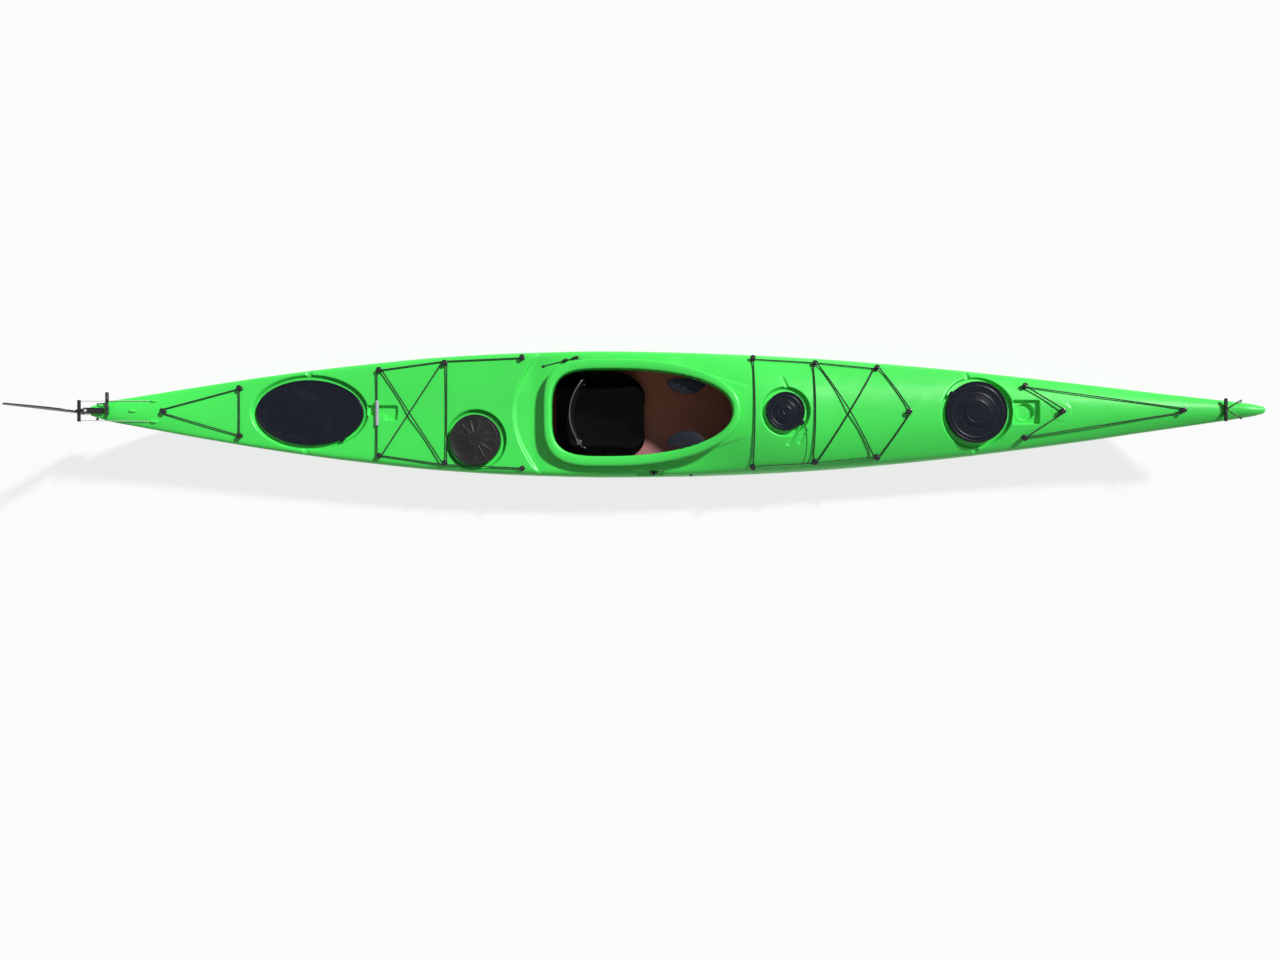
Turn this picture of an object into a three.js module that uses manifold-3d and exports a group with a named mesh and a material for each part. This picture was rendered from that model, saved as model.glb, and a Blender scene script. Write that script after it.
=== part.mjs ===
// Sea kayak with an over-stern rudder, a skeg, four hatches and full deck rigging.
// Millimetres. +X runs to the bow, +Y to port and +Z up. The origin is under the middle
// of the hull, on the flat of the keel that the boat rests on.
import * as THREE from "three";
import { mergeVertices } from "three/addons/utils/BufferGeometryUtils.js";
import Module from "manifold-3d";

const wasm = await Module();
wasm.setup();

// Driving dimensions
const clearance = 0.3;
const overrun = 20;
const weldDistance = 1e-4;
const roundSides = 16;
const hull = { length: 5200, beam: 580, depth: 350, wall: 4.4, keelFlat: 90, sternSolid: 75, bowSolid: 160 };
const halfBeam = hull.beam / 2;

// Lines of the hull: place along it from the stern, then a share of the half beam or of the depth
const halfBeamShares = [
  [0, 0.075], [0.014, 0.155], [0.035, 0.226], [0.0975, 0.43], [0.16, 0.612], [0.225, 0.765],
  [0.3, 0.9], [0.37, 0.97], [0.44, 1], [0.5, 0.988], [0.56, 0.955], [0.62, 0.9], [0.68, 0.816],
  [0.74, 0.712], [0.8, 0.583], [0.86, 0.442], [0.92, 0.287], [0.96, 0.185], [0.985, 0.115], [1, 0.03],
];
const keelShares = [
  [0, 0.83], [0.017, 0.59], [0.037, 0.375], [0.056, 0.262], [0.076, 0.213], [0.115, 0.16],
  [0.155, 0.123], [0.195, 0.094], [0.235, 0.069], [0.275, 0.044], [0.316, 0.02], [0.357, 0.004],
  [0.38, 0], [0.52, 0], [0.58, 0.03], [0.65, 0.05], [0.71, 0.07], [0.77, 0.093], [0.815, 0.119],
  [0.857, 0.158], [0.88, 0.19], [0.9, 0.25], [0.921, 0.372], [0.942, 0.515], [0.963, 0.683],
  [0.985, 0.86], [1, 0.975],
];
const gunwaleShares = [
  [0, 0.865], [0.02, 0.835], [0.08, 0.735], [0.16, 0.65], [0.24, 0.586], [0.32, 0.545], [0.4, 0.51],
  [0.48, 0.48], [0.54, 0.45], [0.6, 0.445], [0.67, 0.472], [0.74, 0.523], [0.8, 0.586], [0.86, 0.667],
  [0.9, 0.74], [0.94, 0.825], [0.975, 0.91], [1, 0.98],
];
const deckEdgeShares = [
  [0, 0.9], [0.02, 0.87], [0.08, 0.79], [0.16, 0.722], [0.24, 0.682], [0.32, 0.665], [0.4, 0.66],
  [0.48, 0.652], [0.54, 0.626], [0.6, 0.6], [0.67, 0.6], [0.74, 0.632], [0.8, 0.677],
  [0.86, 0.742], [0.9, 0.802], [0.94, 0.87], [0.975, 0.95], [1, 0.99],
];
const deckRidgeShares = [
  [0, 0.925], [0.02, 0.91], [0.05, 0.875], [0.08, 0.83], [0.115, 0.785], [0.155, 0.748],
  [0.195, 0.722], [0.235, 0.702], [0.275, 0.69], [0.32, 0.68], [0.36, 0.672], [0.4, 0.675],
  [0.44, 0.69], [0.48, 0.74], [0.52, 0.82], [0.56, 0.893], [0.583, 0.905], [0.61, 0.888],
  [0.646, 0.85], [0.69, 0.83], [0.73, 0.815], [0.772, 0.81], [0.814, 0.835], [0.857, 0.868],
  [0.9, 0.915], [0.942, 0.96], [0.97, 1], [0.99, 1.045], [1, 1.03],
];
const veeShares = [
  [0, 0.75], [0.06, 0.7], [0.15, 0.45], [0.3, 0.25], [0.45, 0.14], [0.6, 0.18], [0.75, 0.4],
  [0.88, 0.62], [1, 0.7],
];
const stationShares = [
  0, 0.008, 0.02, 0.037, 0.056, 0.08, 0.115, 0.155, 0.195, 0.235, 0.275, 0.32, 0.36, 0.4, 0.44,
  0.48, 0.52, 0.56, 0.583, 0.61, 0.646, 0.69, 0.73, 0.772, 0.814, 0.857, 0.88, 0.9, 0.921, 0.942,
  0.963, 0.985, 0.995, 1,
];
const deckWidthShares = [1, 0.985, 0.93, 0.76, 0.46, 0.14];
const bottomWidthShares = [0.96, 0.84, 0.6, 0.3, 0];
const keelFlatShare = 0.3;
const crownPower = 2.2;
const rollPower = 24;
const bilgePower = 3;
const runOutPower = 8;

// Hatches: place along the hull and across it, cover, and how high its rim stands in the recess
const hatchSides = 24;
const rim = { wall: 5, lip: 4, fit: 0.6 };
const recess = { depth: 18, margin: 27, floorGap: 3 };
const lid = { top: 6, skirtWall: 5, dip: 2.7 };
const lidRingShares = { outer: 0.86, dipOuter: 0.82, dipInner: 0.62, dome: 0.58, domeEdge: 0.6 };
const hatches = {
  stern: { placeShare: 0.1834, acrossShare: 0, length: 479, width: 294, standShare: 0.75, dome: 3.6 },
  day: { placeShare: 0.3273, acrossShare: -0.452, length: 228, width: 228, standShare: 1.9, dome: 2.4 },
  fore: { placeShare: 0.596, acrossShare: 0, length: 173, width: 173, standShare: 0.75, dome: 2.4 },
  bow: { placeShare: 0.7625, acrossShare: 0, length: 276, width: 276, standShare: 0.65, dome: 3 },
};

const coamingSteps = 42;
const cockpit = {
  rearShare: 0.387, widestShare: 0.4425, frontShare: 0.5568, halfWidth: 243, rearPower: 3.5,
  frontPower: 2.2, lipRear: 36, lipSide: 46, lipFront: 34, lipThickness: 20, edgeRound: 5,
  wall: 6, skirt: 14, lipLowShare: 264 / 350, rearRise: 15, rearRiseLength: 138, frontRise: 87,
  lowestShare: 0.21,
};

const bulkhead = { thickness: 10, sternShare: 0.288, aftShare: 0.376, foreShare: 0.688 };
const pod = { radius: 74, wall: 4, collar: 9, depth: 190, floorRadius: 60, collarShare: 0.8, sides: 20 };

const seat = {
  rearShare: 0.3955, frontShare: 0.4745, halfWidth: 186, floor: 34, wall: 5, sidePower: 10,
  rearRise: 34, frontRise: 10, blockWidth: 76, rearPower: 4, spreadPower: 0.6, columns: 6, rows: 12,
};
const blockPlaceShares = [0.9, 0.7, 0.5, 0.3, 0.1];
const back = {
  placeShare: 0.4092, pivotHeight: 100, top: 236, halfWidth: 158, thickness: 22, sag: 58, bossRadius: 11,
  bossLength: 14, pinRadius: 5, earThickness: 6, earRadius: 12, steps: 12,
};
const brace = { placeShare: 0.512, halfLength: 92, reach: 76, thickness: 9, drop: 42 };
const rail = {
  startShare: 0.5904, endShare: 0.6731, height: 124, depth: 11, tall: 24, inset: 22, bossRadius: 9,
  bossSides: 12,
};
const railBossShares = [0.06, 0.94];
const pedal = {
  placeShare: 0.6317, width: 74, below: 34, above: 84, thickness: 9, sliderLength: 60, sliderWall: 7,
};

const skeg = {
  pivotShare: 0.1427, pivotLift: 39, length: 336, height: 102, heel: 43, nose: 20, thickness: 8,
  slotWidth: 14, restAngle: 7, pinRadius: 4, pinSeat: 4, trunkHeight: 100, trunkMargin: 12,
};
const skegBelowShares = [[0.78, 1], [0.88, 0.75], [0.955, 0.1]];
const skegAboveShares = [[1, 0.5], [0.99, 1], [0.86, 1], [0.4, 0.67]];
const slider = {
  placeShare: 0.4799, acrossShare: 0.955, lean: 50, pocketLength: 121, pocketTall: 27, pocketDepth: 12,
  restShift: 16, plateLength: 36, plateTall: 12, plateThickness: 4, knobRadius: 6, knobHeight: 17,
};

const keyhole = { placeShare: 0.248, length: 117, width: 36, depth: 13, eyeRadius: 33, eyeShift: 24 };
const compass = { placeShare: 0.8045, length: 118, width: 108, depth: 15, cupRadius: 40, cupDepth: 10 };

// Deck fittings: where each stud stands, as shares of the hull's length and of its half beam there. The
// middle pair aft stands clear of the day cover's edge.
const fairlead = { base: 12, neck: 5.5, cap: 12.5, baseHeight: 3, neckHeight: 13.8, capHeight: 5, sides: 8 };
const fairleadShares = { baseEdge: 0.6, capUnder: 0.3, capOver: 0.7, capSide: 0.9, capTop: 0.5 };
const dayCoverGap = 25.88;
const aftMidShare = hatches.day.placeShare - (hatches.day.length / 2 + dayCoverGap) / hull.length;
const studPlaceShares = {
  stern_fairlead_centre: [0.061, 0],
  stern_fairlead_left: [0.124, 0.715], stern_fairlead_right: [0.124, -0.715],
  aft_fairlead_rear_left: [0.2436, 0.828], aft_fairlead_rear_right: [0.2436, -0.828],
  aft_fairlead_mid_left: [aftMidShare, 0.864], aft_fairlead_mid_right: [aftMidShare, -0.864],
  aft_fairlead_front_left: [0.368, 0.89], aft_fairlead_front_right: [0.368, -0.89],
  fore_fairlead_rear_left: [0.5693, 0.874], fore_fairlead_rear_right: [0.5693, -0.874],
  fore_fairlead_mid_left: [0.6233, 0.836], fore_fairlead_mid_right: [0.6233, -0.836],
  fore_fairlead_front_left: [0.6775, 0.83], fore_fairlead_front_right: [0.6775, -0.83],
  fore_fairlead_centre: [0.7027, 0], bow_fairlead_left: [0.804, 0.676], bow_fairlead_right: [0.804, -0.676],
  bow_fairlead_rear: [0.834, 0], bow_fairlead_front: [0.934, 0],
};
const cordSides = 7;
const cordLift = 2.2;
const humpSpread = 2.5;
const neckTurnShares = [1, 0.35, -0.35, -1];
const leastTurn = Math.PI / 12;
const rope = { radius: 2.5, level: 5.5 };
const bungee = { radius: 3, level: 13 };

const rudder = {
  pinBehind: 15, pinRadius: 4, pinLength: 86, pinHead: 7, pinHeadTall: 4, mountStand: 7, mountThickness: 9,
  mountReach: 60, mountHalfWidth: 13, mountOverhang: 12, headHeight: 101, headReach: 84, barrel: 9,
  cheek: 3.5, yokeBehind: 52, yokeHalf: 48, yokeWidth: 13, yokeThickness: 6, wireRadius: 1.6, wireInset: 5,
  pivotBehind: 73, pivotDrop: 67, boltRadius: 3.5, boltHead: 7, boltHeadTall: 3,
  bladeLength: 359, bladeWidth: 77, bladeThickness: 5, bladeLean: 21.6,
};
const cheekShares = [[-0.54, 1], [-0.69, 0.9], [-0.79, 0.72], [-1, 0.4], [-0.98, 0.2], [-0.88, 0.02]];
const bladeShares = [
  [0.01, 1], [-0.46, 0.945], [-0.46, 0.045], [-0.38, -0.01], [-0.19, -0.044], [0.04, -0.052],
  [0.22, -0.025], [0.3, 0.04], [0.37, 0.245], [0.31, 0.275], [0.53, 0.38], [0.49, 0.566], [0.31, 0.76],
];
const cone = { length: 19, width: 10, tall: 9 };
const conePlaceShares = { side: [0.0517, 0.565], centre: [0.0346, 0] };

const toggle = { length: 104, radius: 7.5, waist: 5.5, cordRadius: 2.5, holeRadius: 3.1, sides: 12 };
const toggleShares = [[0.7, 1], [1, 0.93], [1, 0.4]];
const waistShare = 0.1;
const bowToggle = { placeShare: 0.9685, holeShare: 0.9833, holeBelow: 26, shoulderBehind: 25, shoulderRise: 38 };
const sternToggle = { placeShare: 0.0158, across: 30, holeShare: 0.0035, holeBelow: 25, stand: 15, knot: 6 };

// Materials
function finish(color, roughness, metalness = 0) {
  return new THREE.MeshStandardMaterial({ color, roughness, metalness });
}
const greenPlastic = finish(0x3fd64e, 0.35);
const blackRubber = finish(0x1d2126, 0.55);
const blackPlastic = finish(0x16181b, 0.45);
const blackFabric = finish(0x17181b, 0.9);
const foam = finish(0x35373a, 0.85);
const steel = finish(0xb9bcc0, 0.3, 1);
const aluminium = finish(0x9a9da1, 0.4, 1);
const cordFinish = finish(0x23252a, 0.85);

// A smooth curve through a table of shares that never overshoots its points
function throughTable(table) {
  const gaps = table.slice(1).map((p, i) => p[0] - table[i][0]);
  const slopes = table.slice(1).map((p, i) => (p[1] - table[i][1]) / gaps[i]);
  const tangents = table.map((p, i) => {
    if (i === 0) return slopes[0];
    if (i === table.length - 1) return slopes[i - 1];
    if (slopes[i - 1] * slopes[i] <= 0) return 0;
    const before = 2 * gaps[i] + gaps[i - 1];
    const after = gaps[i] + 2 * gaps[i - 1];
    return (before + after) / (before / slopes[i - 1] + after / slopes[i]);
  });
  return (share) => {
    const x = Math.min(Math.max(share, table[0][0]), table.at(-1)[0]);
    let i = table.findIndex((p) => p[0] > x) - 1;
    if (i < 0) i = gaps.length - 1;
    const t = (x - table[i][0]) / gaps[i];
    const rise = t * t * (3 - 2 * t);
    const bend = t * (1 - t) * (1 - t) * tangents[i] - t * t * (1 - t) * tangents[i + 1];
    return table[i][1] * (1 - rise) + table[i + 1][1] * rise + bend * gaps[i];
  };
}
const beamCurve = throughTable(halfBeamShares);
const keelCurve = throughTable(keelShares);
const gunwaleCurve = throughTable(gunwaleShares);
const deckEdgeCurve = throughTable(deckEdgeShares);
const ridgeCurve = throughTable(deckRidgeShares);
const veeCurve = throughTable(veeShares);

const at = (x, y, z) => new THREE.Vector3(x, y, z);
const halfBeamAt = (share) => halfBeam * beamCurve(share);
const placeOf = (share) => (share - 1 / 2) * hull.length;
const shareOf = (x) => x / hull.length + 1 / 2;
const highest = 2 * hull.depth;

// Height of the deck skin: a crowned panel that rolls over into the side at the gunwale
function deckHeight(share, across) {
  const u = Math.min(Math.abs(across), 1);
  const gunwale = hull.depth * gunwaleCurve(share);
  const edge = hull.depth * deckEdgeCurve(share);
  const ridge = hull.depth * ridgeCurve(share);
  return gunwale + (ridge - edge) * (1 - u ** crownPower) + (edge - gunwale) * Math.sqrt(1 - u ** rollPower);
}

// Height of the bottom skin: a vee from the keel flat that turns up through the bilge
function bottomHeight(share, v) {
  const keel = hull.depth * keelCurve(share);
  const gunwale = hull.depth * gunwaleCurve(share);
  const vee = veeCurve(share);
  return keel + (gunwale - keel) * (vee * v + (1 - vee) * (1 - Math.sqrt(1 - v ** bilgePower)));
}

// One cross-section, counter-clockwise seen from the bow. skin is the depth below the outer surface
// and drop lowers the deck panel.
function sectionRing(share, skin, drop) {
  const x = placeOf(share);
  const half = halfBeamAt(share) - skin;
  const flat = Math.min(hull.keelFlat / 2, half * keelFlatShare);
  const deckPoint = (u) => {
    const inset = skin * Math.sqrt(1 - Math.abs(u) ** rollPower);
    const lowered = drop * (1 - Math.abs(u) ** runOutPower);
    return at(x, u * half, deckHeight(share, u) - inset - lowered);
  };
  const bottomPoint = (v, side) => {
    const inset = skin * Math.sqrt(1 - v ** bilgePower);
    return at(x, side * (flat + v * (half - flat)), bottomHeight(share, v) + inset);
  };
  return [
    ...deckWidthShares.map(deckPoint),
    ...deckWidthShares.map((u) => deckPoint(-u)).reverse(),
    ...bottomWidthShares.map((v) => bottomPoint(v, -1)),
    ...bottomWidthShares.map((v) => bottomPoint(v, 1)).reverse(),
  ];
}

// Solids and the geometry that comes back from them
function solidOf(geometry) {
  const bare = geometry.clone();
  bare.deleteAttribute("normal");
  bare.deleteAttribute("uv");
  const merged = mergeVertices(bare, weldDistance);
  return new wasm.Manifold(
    new wasm.Mesh({
      numProp: 3,
      vertProperties: new Float32Array(merged.attributes.position.array),
      triVerts: new Uint32Array(merged.index.array),
    }),
  );
}

function geometryOf(solid) {
  const mesh = solid.getMesh();
  const geometry = new THREE.BufferGeometry();
  geometry.setAttribute("position", new THREE.BufferAttribute(mesh.vertProperties, 3));
  geometry.setIndex(new THREE.BufferAttribute(mesh.triVerts, 1));
  geometry.computeVertexNormals();
  return geometry;
}

// A surface through rings of equal count, closed into a loop or capped at both ends. A cap's strips
// run between a ring's first half and its second, so a ring may bend round into a U.
function ringSolid(rings, looped = false) {
  const count = rings[0].length;
  const faces = [];
  const spans = looped ? rings.length : rings.length - 1;
  for (let i = 0; i < spans; i++)
    for (let j = 0; j < count; j++) {
      const next = (i + 1) % rings.length;
      const a = i * count + j;
      const b = i * count + ((j + 1) % count);
      const c = next * count + ((j + 1) % count);
      const d = next * count + j;
      faces.push(a, b, c, a, c, d);
    }
  const last = (rings.length - 1) * count;
  if (!looped)
    for (let j = 0, k = count - 1; k - j > 1; j++, k--) {
      faces.push(k, j + 1, j, last + j, last + j + 1, last + k);
      if (k - j > 2) faces.push(k, k - 1, j + 1, last + j + 1, last + k - 1, last + k);
    }
  const geometry = new THREE.BufferGeometry().setFromPoints(rings.flat());
  geometry.setIndex(faces);
  return solidOf(geometry);
}

// The hull's shape between two places, at a depth below its skin
function hullLoft(skin, drop, first, last) {
  const inner = stationShares.filter((share) => share > first && share < last);
  return ringSolid([first, ...inner, last].map((share) => sectionRing(share, skin, drop)));
}

function boxSolid(from, to) {
  const size = to.clone().sub(from);
  const middle = from.clone().add(to).divideScalar(2);
  return solidOf(new THREE.BoxGeometry(size.x, size.y, size.z).translate(middle.x, middle.y, middle.z));
}

// An upright prism with an oval outline
function ovalPrism([halfLength, halfWidth], bottom, top, sides) {
  const oval = new THREE.CylinderGeometry(1, 1, top - bottom, sides);
  oval.rotateX(Math.PI / 2);
  oval.scale(halfLength, halfWidth, 1);
  return oval.translate(0, 0, (top + bottom) / 2);
}

// A rod along one axis through its centre point
function rod(axis, centre, length, radius, sides = roundSides) {
  const cylinder = new THREE.CylinderGeometry(radius, radius, length, sides);
  if (axis === "z") cylinder.rotateX(Math.PI / 2);
  return solidOf(cylinder.translate(centre.x, centre.y, centre.z));
}

// A solid turned from a profile of radius and height
function turned(profile, sides) {
  const lathe = new THREE.LatheGeometry(profile.map(([r, z]) => new THREE.Vector2(r, z)), sides);
  return lathe.rotateX(Math.PI / 2);
}

// A flat plate whose outline is drawn in X and Z, centred on the boat's middle plane
function uprightPlate(outline, thickness) {
  const shape = new THREE.Shape(outline.map(([x, z]) => new THREE.Vector2(x, z)));
  const plate = new THREE.ExtrudeGeometry(shape, { depth: thickness, bevelEnabled: false });
  return solidOf(plate.rotateX(Math.PI / 2).translate(0, thickness / 2, 0));
}

const kayak = new THREE.Group();
function place(name, solid, material, parent = kayak) {
  const mesh = new THREE.Mesh(geometryOf(solid), material);
  mesh.name = name;
  parent.add(mesh);
  return mesh;
}

// Hatch sizes that follow from each cover
for (const hatch of Object.values(hatches)) {
  const { placeShare, acrossShare, length, width, standShare } = hatch;
  hatch.x = placeOf(placeShare);
  hatch.y = acrossShare * halfBeamAt(placeShare);
  hatch.outer = [length / 2, width / 2];
  const within = (gap) => hatch.outer.map((r) => r * (1 - gap / hatch.outer[1]));
  hatch.rimOuter = within(lid.skirtWall + rim.fit);
  hatch.opening = within(lid.skirtWall + rim.fit + rim.wall + rim.lip);
  hatch.stand = standShare * recess.depth;
  hatch.rimTop = deckHeight(placeShare, acrossShare) - recess.depth + hatch.stand;
  const reach = hatch.outer[0] / hull.length;
  const fore = deckHeight(placeShare + reach, acrossShare);
  const rear = deckHeight(placeShare - reach, acrossShare);
  hatch.pitch = Math.atan2(rear - fore, length);
}

// A prism in a hatch's own outline, set at its rim and pitched with the deck
function hatchPrism(hatch, outline, bottom, top) {
  const set = new THREE.Matrix4().makeRotationY(hatch.pitch).setPosition(hatch.x, hatch.y, hatch.rimTop);
  return solidOf(ovalPrism(outline, bottom, top, hatchSides).applyMatrix4(set));
}

// Cockpit outline: squarish behind and pointed-round in front. inward goes from 0 at the lip's outer
// edge to 1 at the opening.
const cockpitRear = placeOf(cockpit.rearShare);
const cockpitWidest = placeOf(cockpit.widestShare);
const cockpitFront = placeOf(cockpit.frontShare);
const coamingAngles = Array.from({ length: coamingSteps }, (_, i) => (i / coamingSteps) * 2 * Math.PI);
function cockpitPoint(angle, inward) {
  const [along, across] = [Math.cos(angle), Math.sin(angle)];
  const power = 2 / (along >= 0 ? cockpit.frontPower : cockpit.rearPower);
  const frontReach = cockpitFront - cockpitWidest - inward * cockpit.lipFront;
  const rearReach = cockpitWidest - cockpitRear - inward * cockpit.lipRear;
  const half = cockpit.halfWidth - inward * cockpit.lipSide;
  return new THREE.Vector2(
    cockpitWidest + Math.sign(along) * (along >= 0 ? frontReach : rearReach) * Math.abs(along) ** power,
    Math.sign(across) * half * Math.abs(across) ** power,
  );
}

// The rim's top climbs to the front and a little at the back
const lipLow = hull.depth * cockpit.lipLowShare;
function lipHeight(x) {
  const along = (x - cockpitRear) / (cockpitFront - cockpitRear);
  const front = Math.max(0, along - cockpit.lowestShare) / (1 - cockpit.lowestShare);
  const rear = Math.max(0, cockpitRear + cockpit.rearRiseLength - x) / cockpit.rearRiseLength;
  return lipLow + cockpit.frontRise * front ** 2 + cockpit.rearRise * rear ** 2;
}
const coamingFoot = (x, y) => deckHeight(shareOf(x), y / halfBeamAt(shareOf(x))) - cockpit.skirt;

function coamingSolid() {
  const wallShare = cockpit.wall / cockpit.lipSide;
  const roundShare = cockpit.edgeRound / cockpit.lipSide;
  const rings = coamingAngles.map((angle) => {
    const wall = cockpitPoint(angle, 1);
    const top = lipHeight(wall.x);
    const foot = coamingFoot(wall.x, wall.y);
    const point = (inward, z) => {
      const p = cockpitPoint(angle, inward);
      return at(p.x, p.y, z);
    };
    return [
      point(1, top - cockpit.edgeRound),
      point(1 - roundShare, top),
      point(roundShare, top),
      point(0, top - cockpit.edgeRound),
      point(0, top - cockpit.lipThickness),
      point(1 - wallShare, top - cockpit.lipThickness),
      point(1 - wallShare, foot),
      point(1, foot),
    ];
  });
  return ringSolid(rings, true);
}

function cockpitPrism(inward, bottom, top) {
  const outline = coamingAngles.map((angle) => cockpitPoint(angle, inward));
  const shape = new THREE.Shape(outline);
  const prism = new THREE.ExtrudeGeometry(shape, { depth: top - bottom, bevelEnabled: false });
  return solidOf(prism.translate(0, 0, bottom));
}

// Skeg pivot and rudder line places
const skegX = placeOf(skeg.pivotShare);
const skegZ = hull.depth * keelCurve(skeg.pivotShare) + skeg.pivotLift;
// The slider's pocket lies square to the shoulder of the hull. Its frame is turned about X, with -Y out
// of the hull and the floor at Y 0.
const sliderFrame = new THREE.Object3D();
sliderFrame.rotation.x = THREE.MathUtils.degToRad(-slider.lean);
sliderFrame.position.set(
  placeOf(slider.placeShare),
  -slider.acrossShare * halfBeamAt(slider.placeShare),
  deckHeight(slider.placeShare, slider.acrossShare),
);
sliderFrame.translateY(slider.pocketDepth);
sliderFrame.updateMatrix();

// Pockets moulded into the deck, side and bottom. grow widens each by the wall around it.
function pocketSolids(grow) {
  const deckBox = ({ placeShare, length, width, depth }) => {
    const x = placeOf(placeShare);
    const floor = deckHeight(placeShare, 0) - depth - grow;
    return boxSolid(
      at(x - length / 2 - grow, -width / 2 - grow, floor),
      at(x + length / 2 + grow, width / 2 + grow, highest),
    );
  };
  const deckCup = ({ placeShare }, shift, radius, depth) => {
    const floor = deckHeight(placeShare, 0) - depth - grow;
    const cup = ovalPrism([radius + grow, radius + grow], floor, highest, roundSides);
    return solidOf(cup.translate(placeOf(placeShare) + shift, 0, 0));
  };
  const [halfLength, halfTall] = [slider.pocketLength / 2 + grow, slider.pocketTall / 2 + grow];
  const sliderBox = new THREE.BoxGeometry(2 * halfLength, slider.pocketDepth + overrun + grow, 2 * halfTall);
  sliderBox.translate(0, (grow - slider.pocketDepth - overrun) / 2, 0);
  const sliderPocket = solidOf(sliderBox.applyMatrix4(sliderFrame.matrix));
  const skegTrunk = boxSolid(
    at(skegX - skeg.length - skeg.trunkMargin - grow, -skeg.slotWidth / 2 - grow, -overrun),
    at(skegX + skeg.nose + skeg.trunkMargin + grow, skeg.slotWidth / 2 + grow, skegZ + skeg.trunkHeight + grow),
  );
  return [
    deckBox(keyhole),
    deckCup(keyhole, keyhole.eyeShift, keyhole.eyeRadius, keyhole.depth),
    deckBox(compass),
    deckCup(compass, 0, compass.cupRadius, compass.depth + compass.cupDepth),
    sliderPocket,
    skegTrunk,
  ];
}

// The dish around each hatch, to be taken out of the deck
function hatchRecesses(skin, grow, first, last) {
  const floor = hullLoft(skin, recess.depth, first, last);
  return Object.values(hatches).map((hatch) => {
    const outline = hatch.outer.map((r) => r + recess.margin + grow);
    return hatchPrism(hatch, outline, -hull.depth / 2, hull.depth / 2).subtract(floor);
  });
}

// The space inside the hull, smaller by extra all round
function insideSolid(extra) {
  const skin = hull.wall + extra;
  const first = (hull.sternSolid + extra) / hull.length;
  const last = 1 - (hull.bowSolid + extra) / hull.length;
  const cuts = [...hatchRecesses(skin, skin, first, last), ...pocketSolids(skin)];
  return cuts.reduce((space, cut) => space.subtract(cut), hullLoft(skin, 0, first, last));
}

// Small fairings on the stern deck where the rudder lines come out
function coneSolids() {
  const { side, centre } = conePlaceShares;
  return [side, [side[0], -side[1]], centre].map(([share, across]) => {
    const fairing = new THREE.SphereGeometry(1, 10, 6).scale(cone.length, cone.width, cone.tall);
    fairing.translate(placeOf(share), across * halfBeamAt(share), deckHeight(share, across));
    return solidOf(fairing);
  });
}

function toggleHole({ holeShare, holeBelow }) {
  return at(placeOf(holeShare), 0, deckHeight(holeShare, 0) - holeBelow);
}

function hullSolid() {
  const space = insideSolid(0);
  let body = hullLoft(0, 0, 0, 1);
  for (const cut of [...hatchRecesses(0, 0, 0, 1), ...pocketSolids(0), space]) body = body.subtract(cut);
  for (const hatch of Object.values(hatches)) {
    const low = -hatch.stand - overrun;
    const ring = hatchPrism(hatch, hatch.rimOuter, low, 0).subtract(space);
    body = body.add(ring).subtract(hatchPrism(hatch, hatch.opening, 2 * low, hull.depth));
  }
  const middleOfWall = 1 - cockpit.wall / cockpit.lipSide / 2;
  body = body.subtract(cockpitPrism(middleOfWall, lipLow / 2, highest)).add(coamingSolid());
  for (const fairing of coneSolids()) body = body.add(fairing);
  const pinLength = skeg.slotWidth + 2 * (skeg.pinSeat + clearance);
  body = body.subtract(rod("y", at(skegX, 0, skegZ), pinLength, skeg.pinRadius + clearance));
  for (const hole of [bowToggle, sternToggle])
    body = body.subtract(rod("y", toggleHole(hole), hull.beam, toggle.holeRadius, toggle.sides));
  return body;
}

const inside = insideSolid(clearance);
const hullMesh = place("hull", hullSolid(), greenPlastic);
hullMesh.updateMatrixWorld(true);

// The point and the facing of the deck straight below a place
function onDeck(x, y) {
  const ray = new THREE.Raycaster(at(x, y, highest), at(0, 0, -1));
  const hit = ray.intersectObject(hullMesh)[0];
  return hit && { point: hit.point, normal: hit.face.normal.clone() };
}

// Bulkheads are slices of the space inside, a hair smaller than it
function addBulkheads() {
  const shares = {
    bulkhead_stern: bulkhead.sternShare,
    bulkhead_aft: bulkhead.aftShare,
    bulkhead_fore: bulkhead.foreShare,
  };
  for (const [name, share] of Object.entries(shares)) {
    const x = placeOf(share);
    const slab = boxSolid(
      at(x - bulkhead.thickness / 2, -hull.beam, -overrun),
      at(x + bulkhead.thickness / 2, hull.beam, highest),
    );
    place(name, inside.intersect(slab), foam);
  }
}

// Covers: a dished lid with a skirt that drops over the rim
function addCovers() {
  for (const [name, hatch] of Object.entries(hatches)) {
    const [a, b] = hatch.outer;
    const inner = 1 - lid.skirtWall / b;
    const top = lid.top + clearance;
    const skirt = recess.floorGap - hatch.stand;
    const profile = [
      [0, clearance],
      [inner, clearance],
      [inner, skirt],
      [1, skirt],
      [1, top / 2],
      [(1 + inner) / 2, top],
      [lidRingShares.outer, top],
      [lidRingShares.dipOuter, top - lid.dip],
      [lidRingShares.dipInner, top - lid.dip],
      [lidRingShares.dome, top + hatch.dome * lidRingShares.domeEdge],
      [0, top + hatch.dome],
    ];
    const dish = solidOf(turned(profile, hatchSides).scale(a, b, 1));
    const cover = place(`${name}_hatch_cover`, dish, blackRubber);
    cover.rotation.y = hatch.pitch;
    cover.position.set(hatch.x, hatch.y, hatch.rimTop);
  }
}

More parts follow.
